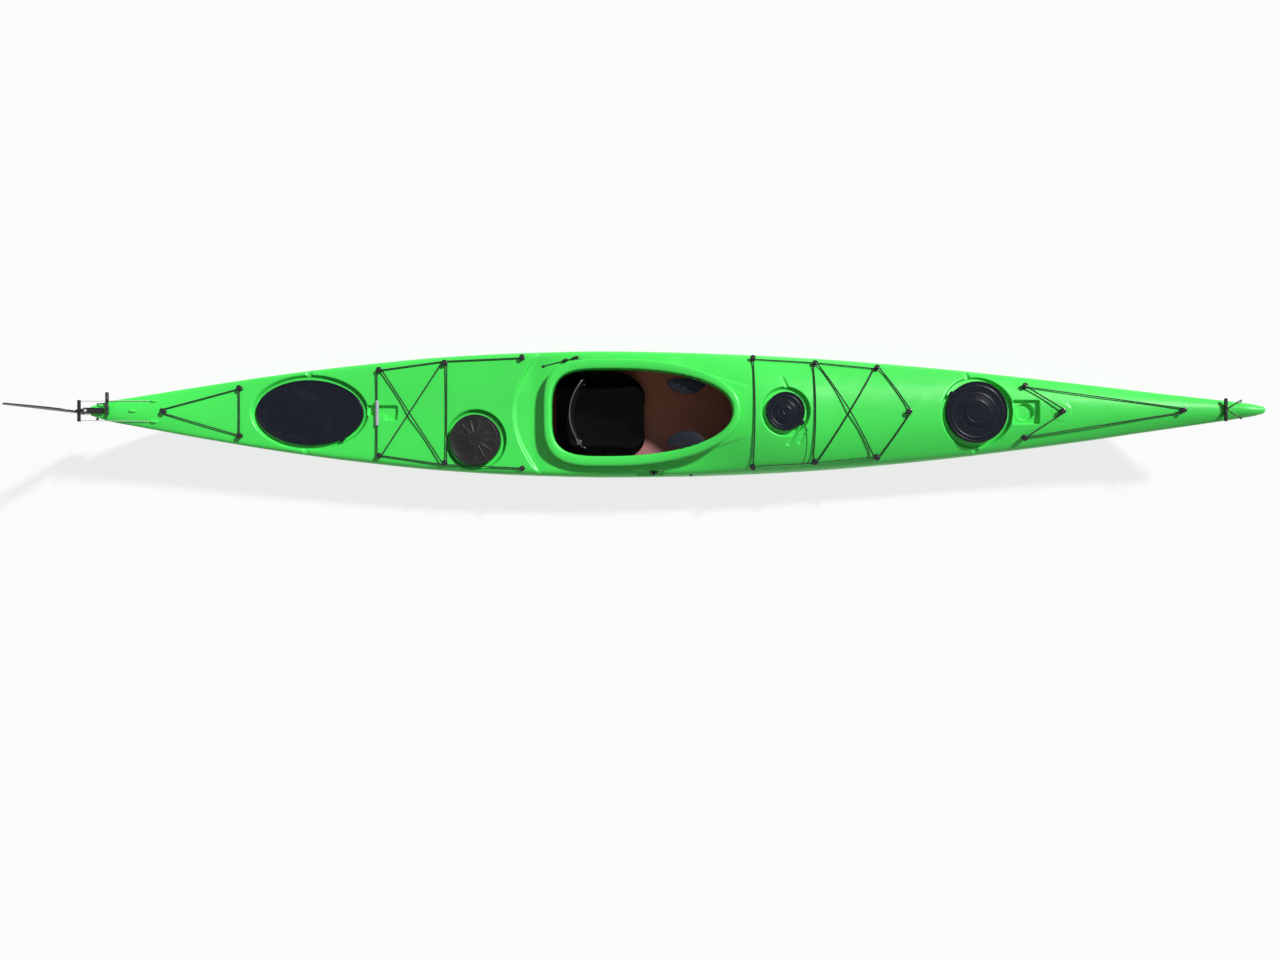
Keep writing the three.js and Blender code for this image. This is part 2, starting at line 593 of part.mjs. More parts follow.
// The cup that hangs under the small hatch in front of the cockpit
function addPod() {
  const { x, y, rimTop } = hatches.fore;
  const collar = pod.depth * pod.collarShare;
  const top = pod.depth + 2 * recess.depth;
  const profile = [
    [0, 0],
    [pod.floorRadius, 0],
    [pod.radius + pod.wall, collar],
    [pod.radius + pod.collar, collar],
    [pod.radius + pod.collar, top],
    [pod.radius, top],
    [pod.radius, collar],
    [pod.floorRadius - pod.wall, pod.wall],
    [0, pod.wall],
  ];
  const cup = turned(profile, pod.sides).translate(x, y, rimTop - recess.depth - pod.depth);
  place("fore_hatch_pod", solidOf(cup).intersect(inside), blackFabric);
}

// Bucket seat: a pan with steep sides that reach the coaming, on a block that stands on the keel
const seatRear = placeOf(seat.rearShare);
const seatFront = placeOf(seat.frontShare);
function seatMiddle(along) {
  return seat.floor + seat.rearRise * (1 - along) ** seat.rearPower + seat.frontRise * along ** 2;
}
function seatPoint(along, across) {
  const x = seatRear + (seatFront - seatRear) * along;
  const spread = Math.abs(across) ** seat.spreadPower;
  const top = coamingFoot(x, seat.halfWidth) - clearance;
  const middle = seatMiddle(along);
  return at(x, Math.sign(across) * spread * seat.halfWidth, middle + (top - middle) * spread ** seat.sidePower);
}

// The pan's outer face, one wall thickness square to its cross-section
function underside(upper) {
  return upper.map((p, j) => {
    const way = upper[Math.min(j + 1, seat.rows)].clone().sub(upper[Math.max(j - 1, 0)]).normalize();
    return at(p.x, p.y - seat.wall * way.z, p.z + seat.wall * way.y);
  });
}

const backX = placeOf(back.placeShare);
const backPivot = at(backX + back.sag, 0, back.pivotHeight);
function addSeat() {
  const rings = Array.from({ length: seat.columns + 1 }, (_, i) => {
    const upper = Array.from({ length: seat.rows + 1 }, (_, j) =>
      seatPoint(i / seat.columns, 1 - (j / seat.rows) * 2),
    );
    return [...upper, ...underside(upper).reverse()];
  });
  const low = hull.wall + clearance;
  const blockTop = blockPlaceShares.map((along) => [
    seatRear + (seatFront - seatRear) * along,
    seatMiddle(along) - seat.wall / 2,
  ]);
  const block = uprightPlate([...blockTop, [blockTop.at(-1)[0], low], [blockTop[0][0], low]], seat.blockWidth);
  let body = ringSolid(rings).add(block);
  for (const side of [1, -1]) {
    const earY = side * (back.halfWidth + clearance + back.earThickness / 2);
    const pinLength = back.bossLength + back.earThickness + clearance;
    const pinY = side * (back.halfWidth + clearance + back.earThickness - pinLength / 2);
    const stem = boxSolid(
      at(backPivot.x - back.earRadius, earY - back.earThickness / 2, seat.floor),
      at(backPivot.x + back.earRadius, earY + back.earThickness / 2, backPivot.z),
    );
    body = body
      .add(rod("y", at(backPivot.x, earY, backPivot.z), back.earThickness, back.earRadius))
      .add(stem)
      .add(rod("y", at(backPivot.x, pinY, backPivot.z), pinLength, back.pinRadius));
  }
  place("seat_pan", body, blackPlastic);
}

// Backrest: an upright band bent round the back, with a boss at each end that turns on the seat's pins
function addBackrest() {
  const rings = Array.from({ length: back.steps + 1 }, (_, i) => {
    const across = (i / back.steps) * 2 - 1;
    const x = backX + back.sag * across ** 2;
    const y = across * back.halfWidth;
    const low = back.pivotHeight - back.bossRadius;
    const shoulder = back.top - back.thickness / 2;
    return [
      at(x - back.thickness / 2, y, low),
      at(x - back.thickness / 2, y, shoulder),
      at(x, y, back.top),
      at(x + back.thickness / 2, y, shoulder),
      at(x + back.thickness / 2, y, low),
    ];
  });
  let body = ringSolid(rings);
  for (const side of [1, -1]) {
    const boss = at(backPivot.x, side * (back.halfWidth - back.bossLength / 2), backPivot.z);
    const bore = at(backPivot.x, side * back.halfWidth, backPivot.z);
    const boreLength = 2 * (back.bossLength + 2 * clearance);
    body = body
      .add(rod("y", boss, back.bossLength, back.bossRadius))
      .subtract(rod("y", bore, boreLength, back.pinRadius + clearance));
  }
  place("backrest", body, blackPlastic);
}

// Thigh braces: half-oval plates against the inside of the coaming
function addBraces() {
  const x = placeOf(brace.placeShare);
  const top = lipHeight(x) - brace.drop;
  const within = cockpitPrism(1 + (2 * clearance) / cockpit.lipFront, top - brace.thickness, top);
  const edge = coamingAngles
    .map((angle) => cockpitPoint(angle, 1))
    .reduce((best, p) => (p.y > 0 && Math.abs(p.x - x) < Math.abs(best.x - x) ? p : best));
  for (const [name, side] of [["left", 1], ["right", -1]]) {
    const outline = [brace.halfLength, brace.reach];
    const pad = ovalPrism(outline, top - brace.thickness - overrun, top + overrun, hatchSides);
    place(`thigh_brace_${name}`, solidOf(pad.translate(x, side * edge.y, 0)).intersect(within), blackRubber);
  }
}

// Where the inside of the hull stands at a height, from the middle plane
function insideHalfBreadth(share, height) {
  let low = 0;
  let high = 1;
  for (let i = 0; i < 30; i++) {
    const v = (low + high) / 2;
    if (bottomHeight(share, v) < height) low = v;
    else high = v;
  }
  return hull.keelFlat / 2 + low * (halfBeamAt(share) - hull.wall - hull.keelFlat / 2);
}

const railPoint = (share) => at(placeOf(share), insideHalfBreadth(share, rail.height) - rail.inset, 0);
const railStart = railPoint(rail.startShare);
const railEnd = railPoint(rail.endShare);
const railRun = railEnd.clone().sub(railStart);
const railAngle = Math.atan2(railRun.y, railRun.x);
const onRail = (share, side) => {
  const p = railStart.clone().addScaledVector(railRun, share);
  return at(p.x, side * p.y, rail.height);
};

// Foot rails along the hull sides, each on two bosses that reach the skin
function addRails() {
  for (const [name, side] of [["left", 1], ["right", -1]]) {
    const middle = onRail(1 / 2, side);
    const bar = new THREE.BoxGeometry(railRun.length(), rail.depth, rail.tall).rotateZ(side * railAngle);
    let body = solidOf(bar.translate(middle.x, middle.y, middle.z));
    for (const share of railBossShares) {
      const boss = onRail(share, side).add(at(0, side * rail.inset, 0));
      body = body.add(rod("y", boss, 2 * rail.inset, rail.bossRadius, rail.bossSides));
    }
    place(`foot_rail_${name}`, body.intersect(inside), aluminium);
  }
}

// Foot pedals: a plate on a slider that wraps the rail
function addPedals() {
  const gap = 2 * clearance;
  const inner = rail.depth / 2 + gap;
  const tall = rail.tall / 2 + gap;
  const half = pedal.sliderLength / 2;
  const wrap = boxSolid(
    at(-half, -inner - pedal.sliderWall, -tall - pedal.sliderWall),
    at(half, rail.depth / 2, tall + pedal.sliderWall),
  );
  const channel = boxSolid(at(-pedal.sliderLength, -inner, -tall), at(pedal.sliderLength, rail.depth, tall));
  const plate = boxSolid(
    at(-pedal.thickness / 2, -inner - pedal.sliderWall / 2 - pedal.width, -pedal.below),
    at(pedal.thickness / 2, -inner - pedal.sliderWall / 2, pedal.above),
  );
  const along = (placeOf(pedal.placeShare) - railStart.x) / railRun.x;
  for (const [name, side] of [["left", 1], ["right", -1]]) {
    const mesh = place(`foot_pedal_${name}`, wrap.subtract(channel).add(plate), blackPlastic);
    mesh.scale.y = side;
    mesh.rotation.z = side * railAngle;
    mesh.position.copy(onRail(along, side));
  }
}

// Skeg: its outline runs back from the pivot, below it and then above it
function addSkeg() {
  const { length, height, heel, nose } = skeg;
  const outline = [
    [nose, nose / 2],
    [nose, -heel / 5],
    [nose / 2, -heel],
    ...skegBelowShares.map(([back, down]) => [-length * back, -heel * down]),
    ...skegAboveShares.map(([back, up]) => [-length * back, (height - heel) * up]),
    [0, nose],
  ];
  const bore = rod("y", at(0, 0, 0), skeg.thickness + overrun, skeg.pinRadius + clearance);
  const pivot = new THREE.Group();
  pivot.position.set(skegX, 0, skegZ);
  pivot.rotation.y = THREE.MathUtils.degToRad(-skeg.restAngle);
  kayak.add(pivot);
  place("skeg_blade", uprightPlate(outline, skeg.thickness).subtract(bore), blackPlastic, pivot);
  const pinLength = skeg.slotWidth + 2 * skeg.pinSeat;
  place("skeg_pin", rod("y", at(0, 0, 0), pinLength, skeg.pinRadius), steel, pivot);
}

// Skeg slider: a knob on a plate that runs along the pocket in the starboard shoulder
function addSlider() {
  const { plateLength, plateTall, plateThickness, knobHeight, knobRadius } = slider;
  const plate = boxSolid(
    at(-plateLength / 2, -plateThickness - clearance, -plateTall / 2),
    at(plateLength / 2, -clearance, plateTall / 2),
  );
  const knob = rod("y", at(0, -knobHeight / 2 - clearance, 0), knobHeight, knobRadius);
  const mesh = place("skeg_slider", plate.add(knob), blackPlastic);
  mesh.rotation.copy(sliderFrame.rotation);
  mesh.position.copy(sliderFrame.position);
  mesh.translateX(slider.restShift);
}

// Fairleads: waisted studs that stand square on the deck, clear of its curve all round their base
const studs = {};
function addFairleads() {
  const { base, neck, cap, baseHeight, neckHeight, capHeight, sides } = fairlead;
  const shares = fairleadShares;
  const under = baseHeight + neckHeight;
  const profile = [
    [0, 0],
    [base, 0],
    [base, baseHeight * shares.baseEdge],
    [neck, baseHeight],
    [neck, under],
    [cap, under + capHeight * shares.capUnder],
    [cap * shares.capSide, under + capHeight * shares.capOver],
    [cap * shares.capTop, under + capHeight],
    [0, under + capHeight],
  ];
  for (const [name, [share, across]] of Object.entries(studPlaceShares)) {
    const seat = onDeck(placeOf(share), across * halfBeamAt(share));
    const heights = Array.from({ length: sides }, (_, i) => {
      const angle = (i / sides) * 2 * Math.PI;
      const near = onDeck(seat.point.x + base * Math.cos(angle), seat.point.y + base * Math.sin(angle));
      return near ? near.point.sub(seat.point).dot(seat.normal) : 0;
    });
    seat.point.addScaledVector(seat.normal, Math.max(0, ...heights) + clearance);
    const mesh = place(name, solidOf(turned(profile, sides)), blackPlastic);
    mesh.quaternion.setFromUnitVectors(at(0, 0, 1), seat.normal);
    mesh.position.copy(seat.point);
    studs[name] = seat;
  }
}

// A round cord along a line of points, open with flat ends or closed into a loop
function cordSolid(points, radius, closed = false) {
  const last = points.length - 1;
  let across = at(0, 0, 0);
  const rings = points.map((point, i) => {
    const before = points[i === 0 ? (closed ? last : 0) : i - 1];
    const after = points[i === last ? (closed ? 0 : last) : i + 1];
    const arriving = point.clone().sub(before).normalize();
    const leaving = after.clone().sub(point).normalize();
    const along = arriving.add(leaving).normalize();
    if (i === 0) across.crossVectors(along, at(0, 0, 1));
    across = across.clone().addScaledVector(along, -across.dot(along)).normalize();
    const lift = new THREE.Vector3().crossVectors(across, along);
    return Array.from({ length: cordSides }, (_, j) => {
      const angle = -((j + 1 / 2) / cordSides) * 2 * Math.PI;
      const offset = across.clone().multiplyScalar(radius * Math.cos(angle));
      return offset.addScaledVector(lift, radius * Math.sin(angle)).add(point);
    });
  });
  return ringSolid(rings, closed);
}

// Points between two places on a taut cord, lifted where the deck's crown would touch it
function overDeck(from, to, radius, steps, hump = 0) {
  return Array.from({ length: steps - 1 }, (_, i) => {
    const t = (i + 1) / steps;
    const p = from.clone().lerp(to, t);
    const deck = onDeck(p.x, p.y);
    const least = deck ? deck.point.z + radius * cordLift : 0;
    const bump = hump * Math.max(0, 1 - Math.abs(2 * t - 1) * humpSpread);
    return at(p.x, p.y, Math.max(p.z, least) + bump);
  });
}

// The way from one stud to another, along the plane of the first one's base
function wayTo(stud, other) {
  const way = other.point.clone().sub(stud.point);
  return way.addScaledVector(stud.normal, -way.dot(stud.normal)).normalize();
}

// The arc that a cord makes round a stud's neck on its way from one stud to the next
function roundNeck(stud, before, after, cord) {
  const radius = fairlead.neck + cord.radius + 3 * clearance;
  const arriving = wayTo(stud, before);
  const leaving = wayTo(stud, after);
  const turn = Math.max(leastTurn, (Math.PI - arriving.angleTo(leaving)) / 2);
  const outer = arriving.clone().add(leaving).normalize().negate();
  if (turn === leastTurn) {
    outer.crossVectors(stud.normal, leaving).normalize();
    if (outer.y * stud.point.y < 0) outer.negate();
  }
  const along = new THREE.Vector3().crossVectors(stud.normal, outer);
  const first = Math.sign(arriving.dot(along)) * turn;
  const shares = turn === leastTurn ? [1, -1] : neckTurnShares;
  return shares.map((share) =>
    stud.point
      .clone()
      .addScaledVector(stud.normal, cord.level)
      .addScaledVector(outer, radius * Math.cos(first * share))
      .addScaledVector(along, radius * Math.sin(first * share)),
  );
}

// The end of a cord, against the neck of its stud
function atNeck(stud, other, cord) {
  const reach = fairlead.neck + 4 * clearance;
  const level = stud.point.clone().addScaledVector(stud.normal, cord.level);
  return level.addScaledVector(wayTo(stud, other), reach);
}

// A cord from stud to stud. humps are what each run rises to cross over another run.
function riggingPoints(names, cord, steps, humps, closed) {
  const route = names.map((name) => studs[name]);
  const last = route.length - 1;
  const stops = route.map((stud, i) => {
    if (!closed && i === 0) return [atNeck(stud, route[1], cord)];
    if (!closed && i === last) return [atNeck(stud, route[last - 1], cord)];
    return roundNeck(stud, route.at(i - 1), route[(i + 1) % route.length], cord);
  });
  return stops.flatMap((stop, i) => {
    if (!closed && i === last) return stop;
    const next = stops[(i + 1) % stops.length];
    return [...stop, ...overDeck(stop.at(-1), next[0], cord.radius, steps, humps[i] || 0)];
  });
}

function addRigging() {
  const sides = ["left", "right"];
  const row = (part, side) => ["rear", "mid", "front"].map((end) => `${part}_fairlead_${end}_${side}`);
  const lines = [
    ["stern_rope", rope, 5, ["stern_fairlead_left", "stern_fairlead_centre", "stern_fairlead_right"]],
    ["stern_bungee", bungee, 4, ["stern_fairlead_left", "stern_fairlead_right"]],
    ...sides.map((side) => [`aft_rope_${side}`, rope, 4, row("aft", side)]),
    ...sides.map((side) => [`fore_rope_${side}`, rope, 4, row("fore", side)]),
    ["fore_bungee_cross", bungee, 8, ["fore_fairlead_rear_left", "fore_fairlead_rear_right"]],
    ["bow_rope", rope, 6, ["bow_fairlead_left", "bow_fairlead_front", "bow_fairlead_right"]],
    ["bow_bungee", bungee, 3, ["bow_fairlead_left", "bow_fairlead_rear", "bow_fairlead_right"]],
  ];
  for (const [name, cord, steps, names] of lines)
    place(name, cordSolid(riggingPoints(names, cord, steps, [], false), cord.radius), cordFinish);
  const over = 2 * bungee.radius + 3 * clearance;
  const loops = [
    ["aft_bungee_loop", [0, 0, 0, over], [
      "aft_fairlead_rear_left", "aft_fairlead_rear_right", "aft_fairlead_mid_left", "aft_fairlead_mid_right",
    ]],
    ["fore_bungee_loop", [0, 0, 0, over, 0], [
      "fore_fairlead_centre", "fore_fairlead_front_left", "fore_fairlead_mid_right", "fore_fairlead_mid_left",
      "fore_fairlead_front_right",
    ]],
  ];
  for (const [name, humps, names] of loops)
    place(name, cordSolid(riggingPoints(names, bungee, 8, humps, true), bungee.radius, true), cordFinish);
}

// Rudder: a bracket and pin on the stern, a head that yaws on the pin, and a blade that folds in the head
const stern = placeOf(0);
const mountTop = deckHeight(0, 0) + rudder.mountStand;
const mountBottom = mountTop - rudder.mountThickness;
const headTop = mountBottom - clearance;
const headBottom = headTop - rudder.headHeight;
const pinX = stern - rudder.pinBehind;
const bladeX = stern - rudder.pivotBehind;
const bladeZ = headTop - rudder.pivotDrop;
const yokeX = stern - rudder.yokeBehind;
const slotHalf = rudder.bladeThickness / 2 + 2 * clearance;

function addRudderMount() {
  const plate = boxSolid(
    at(pinX - rudder.mountOverhang, -rudder.mountHalfWidth, mountBottom - overrun),
    at(stern + rudder.mountReach, rudder.mountHalfWidth, mountTop),
  );
  const behind = boxSolid(
    at(pinX - overrun, -overrun, mountBottom - 2 * overrun),
    at(stern + 2 * clearance, overrun, mountBottom),
  );
  const bore = rod("z", at(pinX, 0, mountTop), 2 * overrun, rudder.pinRadius + clearance);
  const around = hullLoft(-clearance, 0, 0, 1);
  place("rudder_mount", plate.subtract(around).subtract(behind).subtract(bore), blackPlastic);

  const top = mountTop + clearance + rudder.pinHeadTall;
  const bottom = headTop - rudder.pinLength;
  const pin = rod("z", at(pinX, 0, (top + bottom) / 2), top - bottom, rudder.pinRadius);
  const cap = rod("z", at(pinX, 0, top - rudder.pinHeadTall / 2), rudder.pinHeadTall, rudder.pinHead);
  place("rudder_pin", pin.add(cap), steel);
}

function addRudderHead() {
  const outline = [
    [pinX + rudder.barrel, headBottom],
    [pinX + rudder.barrel, headTop],
    ...cheekShares.map(([back, up]) => [pinX + rudder.headReach * back, headBottom + rudder.headHeight * up]),
  ];
  const slot = boxSolid(
    at(pinX - 2 * rudder.headReach, -slotHalf, 0),
    at(pinX - rudder.barrel, slotHalf, highest),
  );
  const barrel = rod("z", at(pinX, 0, (headBottom + headTop) / 2), rudder.headHeight, rudder.barrel);
  const yokeFront = yokeX + rudder.yokeWidth / 2;
  const yoke = boxSolid(
    at(yokeX - rudder.yokeWidth / 2, -rudder.yokeHalf, headTop - rudder.yokeThickness),
    at(yokeFront, rudder.yokeHalf, headTop),
  );
  const bridge = boxSolid(
    at(yokeX, -rudder.barrel, headTop - rudder.yokeThickness),
    at(pinX, rudder.barrel, headTop),
  );
  const boreLength = 2 * (rudder.pinLength + clearance);
  const bore = rod("z", at(pinX, 0, headTop), boreLength, rudder.pinRadius + clearance);
  const boltBore = rod("y", at(bladeX, 0, bladeZ), hull.beam, rudder.boltRadius + clearance);
  const cheeks = uprightPlate(outline, 2 * (slotHalf + rudder.cheek)).subtract(slot);
  const body = cheeks.add(barrel).add(yoke).add(bridge);
  place("rudder_head", body.subtract(bore).subtract(boltBore), blackPlastic);
}

function addRudderBlade() {
  const outline = bladeShares.map(([across, up]) => [rudder.bladeWidth * across, rudder.bladeLength * up]);
  const bore = rod("y", at(0, 0, 0), hull.beam, rudder.boltRadius + clearance);
  const plate = uprightPlate(outline, rudder.bladeThickness);
  const blade = place("rudder_blade", plate.subtract(bore), blackPlastic);
  blade.rotation.y = THREE.MathUtils.degToRad(-rudder.bladeLean);
  blade.position.set(bladeX, 0, bladeZ);

  const half = slotHalf + rudder.cheek + clearance;
  let bolt = rod("y", at(0, 0, 0), 2 * half, rudder.boltRadius);
  for (const side of [1, -1]) {
    const head = at(0, side * (half + rudder.boltHeadTall / 2), 0);
    bolt = bolt.add(rod("y", head, rudder.boltHeadTall, rudder.boltHead));
  }
  place("rudder_blade_bolt", bolt, steel).position.set(bladeX, 0, bladeZ);
}

// Steering wires from the yoke's arms to the fairings on the stern deck
function addWires() {
  const [share, across] = conePlaceShares.side;
  const coneX = placeOf(share) - cone.length - clearance;
  const coneY = across * halfBeamAt(share);
  const coneZ = onDeck(coneX, coneY).point.z + 2 * rudder.wireRadius;
  const yokeFront = yokeX + rudder.yokeWidth / 2 + clearance;
  const from = at(yokeFront, rudder.yokeHalf - rudder.wireInset, headTop - rudder.yokeThickness / 2);
  for (const [name, side] of [["left", 1], ["right", -1]]) {
    const ends = [from, at(coneX, coneY, coneZ)].map((p) => at(p.x, side * p.y, p.z));
    const points = [ends[0], ...overDeck(ends[0], ends[1], rudder.wireRadius, 5), ends[1]];
    place(`rudder_wire_${name}`, cordSolid(points, rudder.wireRadius), steel);
  }
}

// Carrying toggles: a waisted bar on a cord through a hole in the hull's end
function toggleBar(centre) {
  const half = toggle.length / 2;
  const end = toggleShares.map(([r, y]) => [toggle.radius * r, half * y]);
  const waist = [toggle.waist, half * waistShare];
  const upper = [[0, half], ...end, waist];
  const lower = upper.map(([r, y]) => [r, -y]).reverse();
  const profile = [...lower.reverse(), ...upper.reverse()];
  const bar = new THREE.LatheGeometry(profile.map(([r, y]) => new THREE.Vector2(r, y)), toggle.sides);
  return solidOf(bar.translate(centre.x, centre.y, centre.z));
}

function addBowToggle() {
  const x = placeOf(bowToggle.placeShare);
  const z = onDeck(x, 0).point.z + toggle.radius + 2 * clearance;
  const hole = toggleHole(bowToggle);
  const side = halfBeamAt(bowToggle.holeShare) + toggle.cordRadius + 2 * clearance;
  const arm = (way) => [
    at(x, way * toggle.cordRadius * 1.5, z),
    at(hole.x - bowToggle.shoulderBehind, way * side, hole.z + bowToggle.shoulderRise),
    at(hole.x - toggle.holeRadius, way * side, hole.z + toggle.radius),
    at(hole.x, way * (side - toggle.cordRadius / 2), hole.z),
  ];
  const loop = cordSolid([...arm(1), ...arm(-1).reverse()], toggle.cordRadius);
  place("bow_toggle", toggleBar(at(x, 0, z)).add(loop), blackPlastic);
}

function addSternToggle() {
  const x = placeOf(sternToggle.placeShare);
  const z = onDeck(x, 0).point.z + sternToggle.stand;
  const hole = toggleHole(sternToggle);
  const { across, knot } = sternToggle;
  const edge = halfBeamAt(sternToggle.holeShare) + toggle.cordRadius + 5 * clearance;
  const strand = [
    at(x, across, z),
    at(hole.x + across, across, z - toggle.cordRadius),
    at(hole.x + toggle.radius, edge, hole.z + 2 * toggle.radius),
    at(hole.x, edge, hole.z + toggle.cordRadius),
    at(hole.x, edge - 2 * toggle.cordRadius, hole.z),
    at(hole.x, -edge, hole.z),
  ];
  const ball = new THREE.SphereGeometry(knot, toggle.sides, toggle.sides / 2);
  const body = toggleBar(at(x, across, z))
    .add(cordSolid(strand, toggle.cordRadius))
    .add(solidOf(ball.translate(hole.x, -edge - knot / 2, hole.z)));
  place("stern_toggle", body, blackPlastic);
}

addBulkheads();
addCovers();
addPod();
addSeat();
addBackrest();
addBraces();
addRails();
addPedals();
addSkeg();
addSlider();
addFairleads();
addRigging();
addRudderMount();
addRudderHead();
addRudderBlade();
addWires();
addBowToggle();
addSternToggle();

export default kayak;
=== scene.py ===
import math

import bmesh
import bpy
import numpy as np
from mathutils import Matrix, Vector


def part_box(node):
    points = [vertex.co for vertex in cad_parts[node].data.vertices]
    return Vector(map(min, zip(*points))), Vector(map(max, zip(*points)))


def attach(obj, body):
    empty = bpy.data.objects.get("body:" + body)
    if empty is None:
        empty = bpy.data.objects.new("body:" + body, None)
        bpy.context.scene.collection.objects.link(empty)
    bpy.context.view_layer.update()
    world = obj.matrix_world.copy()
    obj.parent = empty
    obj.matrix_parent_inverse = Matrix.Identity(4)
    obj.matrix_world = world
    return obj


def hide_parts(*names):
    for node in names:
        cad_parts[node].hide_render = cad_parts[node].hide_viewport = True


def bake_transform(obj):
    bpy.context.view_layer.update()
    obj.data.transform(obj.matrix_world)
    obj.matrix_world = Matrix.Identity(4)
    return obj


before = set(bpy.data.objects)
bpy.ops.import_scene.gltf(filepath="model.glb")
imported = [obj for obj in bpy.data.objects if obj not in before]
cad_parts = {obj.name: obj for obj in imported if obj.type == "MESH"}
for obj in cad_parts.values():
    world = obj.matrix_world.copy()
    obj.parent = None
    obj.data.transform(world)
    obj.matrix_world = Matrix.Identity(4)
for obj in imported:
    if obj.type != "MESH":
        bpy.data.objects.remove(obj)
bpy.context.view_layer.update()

bl_info = {
    "name": "Sea kayak",
    "version": (1, 0, 0),
    "blender": (4, 5, 0),
    "location": "View3D > Sidebar > Kayak",
    "description": "Gives the packed sea kayak its moulded skin, covers, rigging and fittings",
    "category": "Object",
}

# Shapes are worked out in millimetres, as in the part's source, and scaled once as they become meshes
MM = 0.001
# Main sizes, as in the part's source: the hull's length, half beam and depth
LENGTH, HALF_BEAM, DEPTH = 5200, 290, 350
# The moulding's wall, and the gap that is left between two pieces that touch
WALL, CLEAR = 4.4, 0.3
# Half breadth of the keel's flat, and of the skeg's slot in it
KEEL_FLAT, SLOT_HALF = 45, 7
# Depth of the hatch recesses, and how far each reaches past its cover
RECESS, RECESS_MARGIN = 18, 27
# Width of the sloped wall of the small moulded pockets, and of the drain channels
POCKET_WALL, CHANNEL_WALL = 6, 11


def linear(code):
    """An sRGB hex code as linear light, which the shaders work in."""
    parts = [int(code[i:i + 2], 16) / 255 for i in (1, 3, 5)]
    return tuple(c / 12.92 if c <= 0.04045 else ((c + 0.055) / 1.055) ** 2.4 for c in parts)


def colour(name, description, code):
    """A colour property whose default is written as an sRGB hex code."""
    return bpy.props.FloatVectorProperty(
        name=name, description=description, default=linear(code), size=3, min=0, max=1, subtype="COLOR")


def length(name, description, default):
    """A length property in metres."""
    return bpy.props.FloatProperty(name=name, description=description, default=default, min=0, unit="LENGTH")


class KayakSizes(bpy.types.PropertyGroup):
    """Sizes that the CAD part leaves to its finish."""
    recess_wall: length("Recess wall", "Width of the sloped wall round each moulded recess", 0.014)
    dish: length("Cockpit dish", "Depth of the dished deck round the cockpit", 0.009)
    rope: length("Rope", "Diameter of the perimeter ropes", 0.005)
    bungee: length("Bungee", "Diameter of the elastic deck lines", 0.006)
    ridge: length("Cover ridge", "Height of the moulded ridges on the hatch covers", 0.0016)
    edge: length("Edge", "Rounding of the fittings' moulded edges", 0.001)


class KayakColours(bpy.types.PropertyGroup):
    """Colours of the boat's finishes."""
    hull: colour("Hull", "Outer face of the moulded hull", "#41DD53")
    inside: colour("Inside", "Inner face of the moulded hull", "#C47C60")
    cover: colour("Covers", "Rubber of the hatch covers", "#11151F")
    day_cover: colour("Day cover", "Rubber of the ribbed cover", "#1B1A1C")
    seat: colour("Seat", "Seat shell and backrest", "#050506")
    fitting: colour("Fittings", "Studs, toggles and rudder parts", "#0C0D0F")
    cord: colour("Cords", "Sheath of the ropes and bungees", "#0C0D10")
    fleck: colour("Flecks", "Light yarns in the perimeter ropes", "#6E7371")
    blade: colour("Rudder blade", "Rudder and skeg plates", "#1C1A19")


# Surfaces


def ease(t):
    """Smooth step: 0 below 0, 1 above 1, and 3t^2 - 2t^3 between."""
    t = np.clip(t, 0, 1)
    return t * t * (3 - 2 * t)


def circle(count):
    """Angles of count places spread evenly round a circle: number over count, times a full turn."""
    return np.arange(count) / count * 2 * np.pi


def signed_power(value, power):
    """Size of each value raised to a power, with the value's own sign."""
    return np.sign(value) * np.abs(value) ** power


def unit(vector):
    """Vector over its length."""
    return vector / np.linalg.norm(vector)


def unit_rows(vectors):
    """Each vector of an array over its length, which is held above zero."""
    return vectors / np.maximum(np.linalg.norm(vectors, axis=-1, keepdims=True), 1e-9)


def placed(points, place, tilt):
    """Points times the matrix tilt, where there is one, plus the place."""
    if tilt is not None:
        points = points @ np.array(tilt).T
    return points + np.array(place, float)


def through(table):
    """Smooth curve through (place, value) pairs that never overshoots: cubic Hermite spans whose inner
    tangents are the weighted harmonic mean of the slopes on each side, or zero where the slope turns."""
    place, value = np.array(table, float).T
    gap = np.diff(place)
    slope = np.diff(value) / gap
    before = 2 * gap[1:] + gap[:-1]
    after = gap[1:] + 2 * gap[:-1]
    product = slope[:-1] * slope[1:]
    one = np.where(product > 0, slope[:-1], 1)
    two = np.where(product > 0, slope[1:], 1)
    inner = np.where(product > 0, (before + after) / (before / one + after / two), 0)
    tangent = np.concatenate([slope[:1], inner, slope[-1:]])

    def curve(share):
        """Hermite span at a share, which is held inside the table."""
        x = np.clip(share, place[0], place[-1])
        i = np.clip(np.searchsorted(place, x, side="right") - 1, 0, len(gap) - 1)
        t = (x - place[i]) / gap[i]
        rise = t * t * (3 - 2 * t)
        bend = t * (1 - t) ** 2 * tangent[i] - t * t * (1 - t) * tangent[i + 1]
        return value[i] * (1 - rise) + value[i + 1] * rise + bend * gap[i]

    return curve


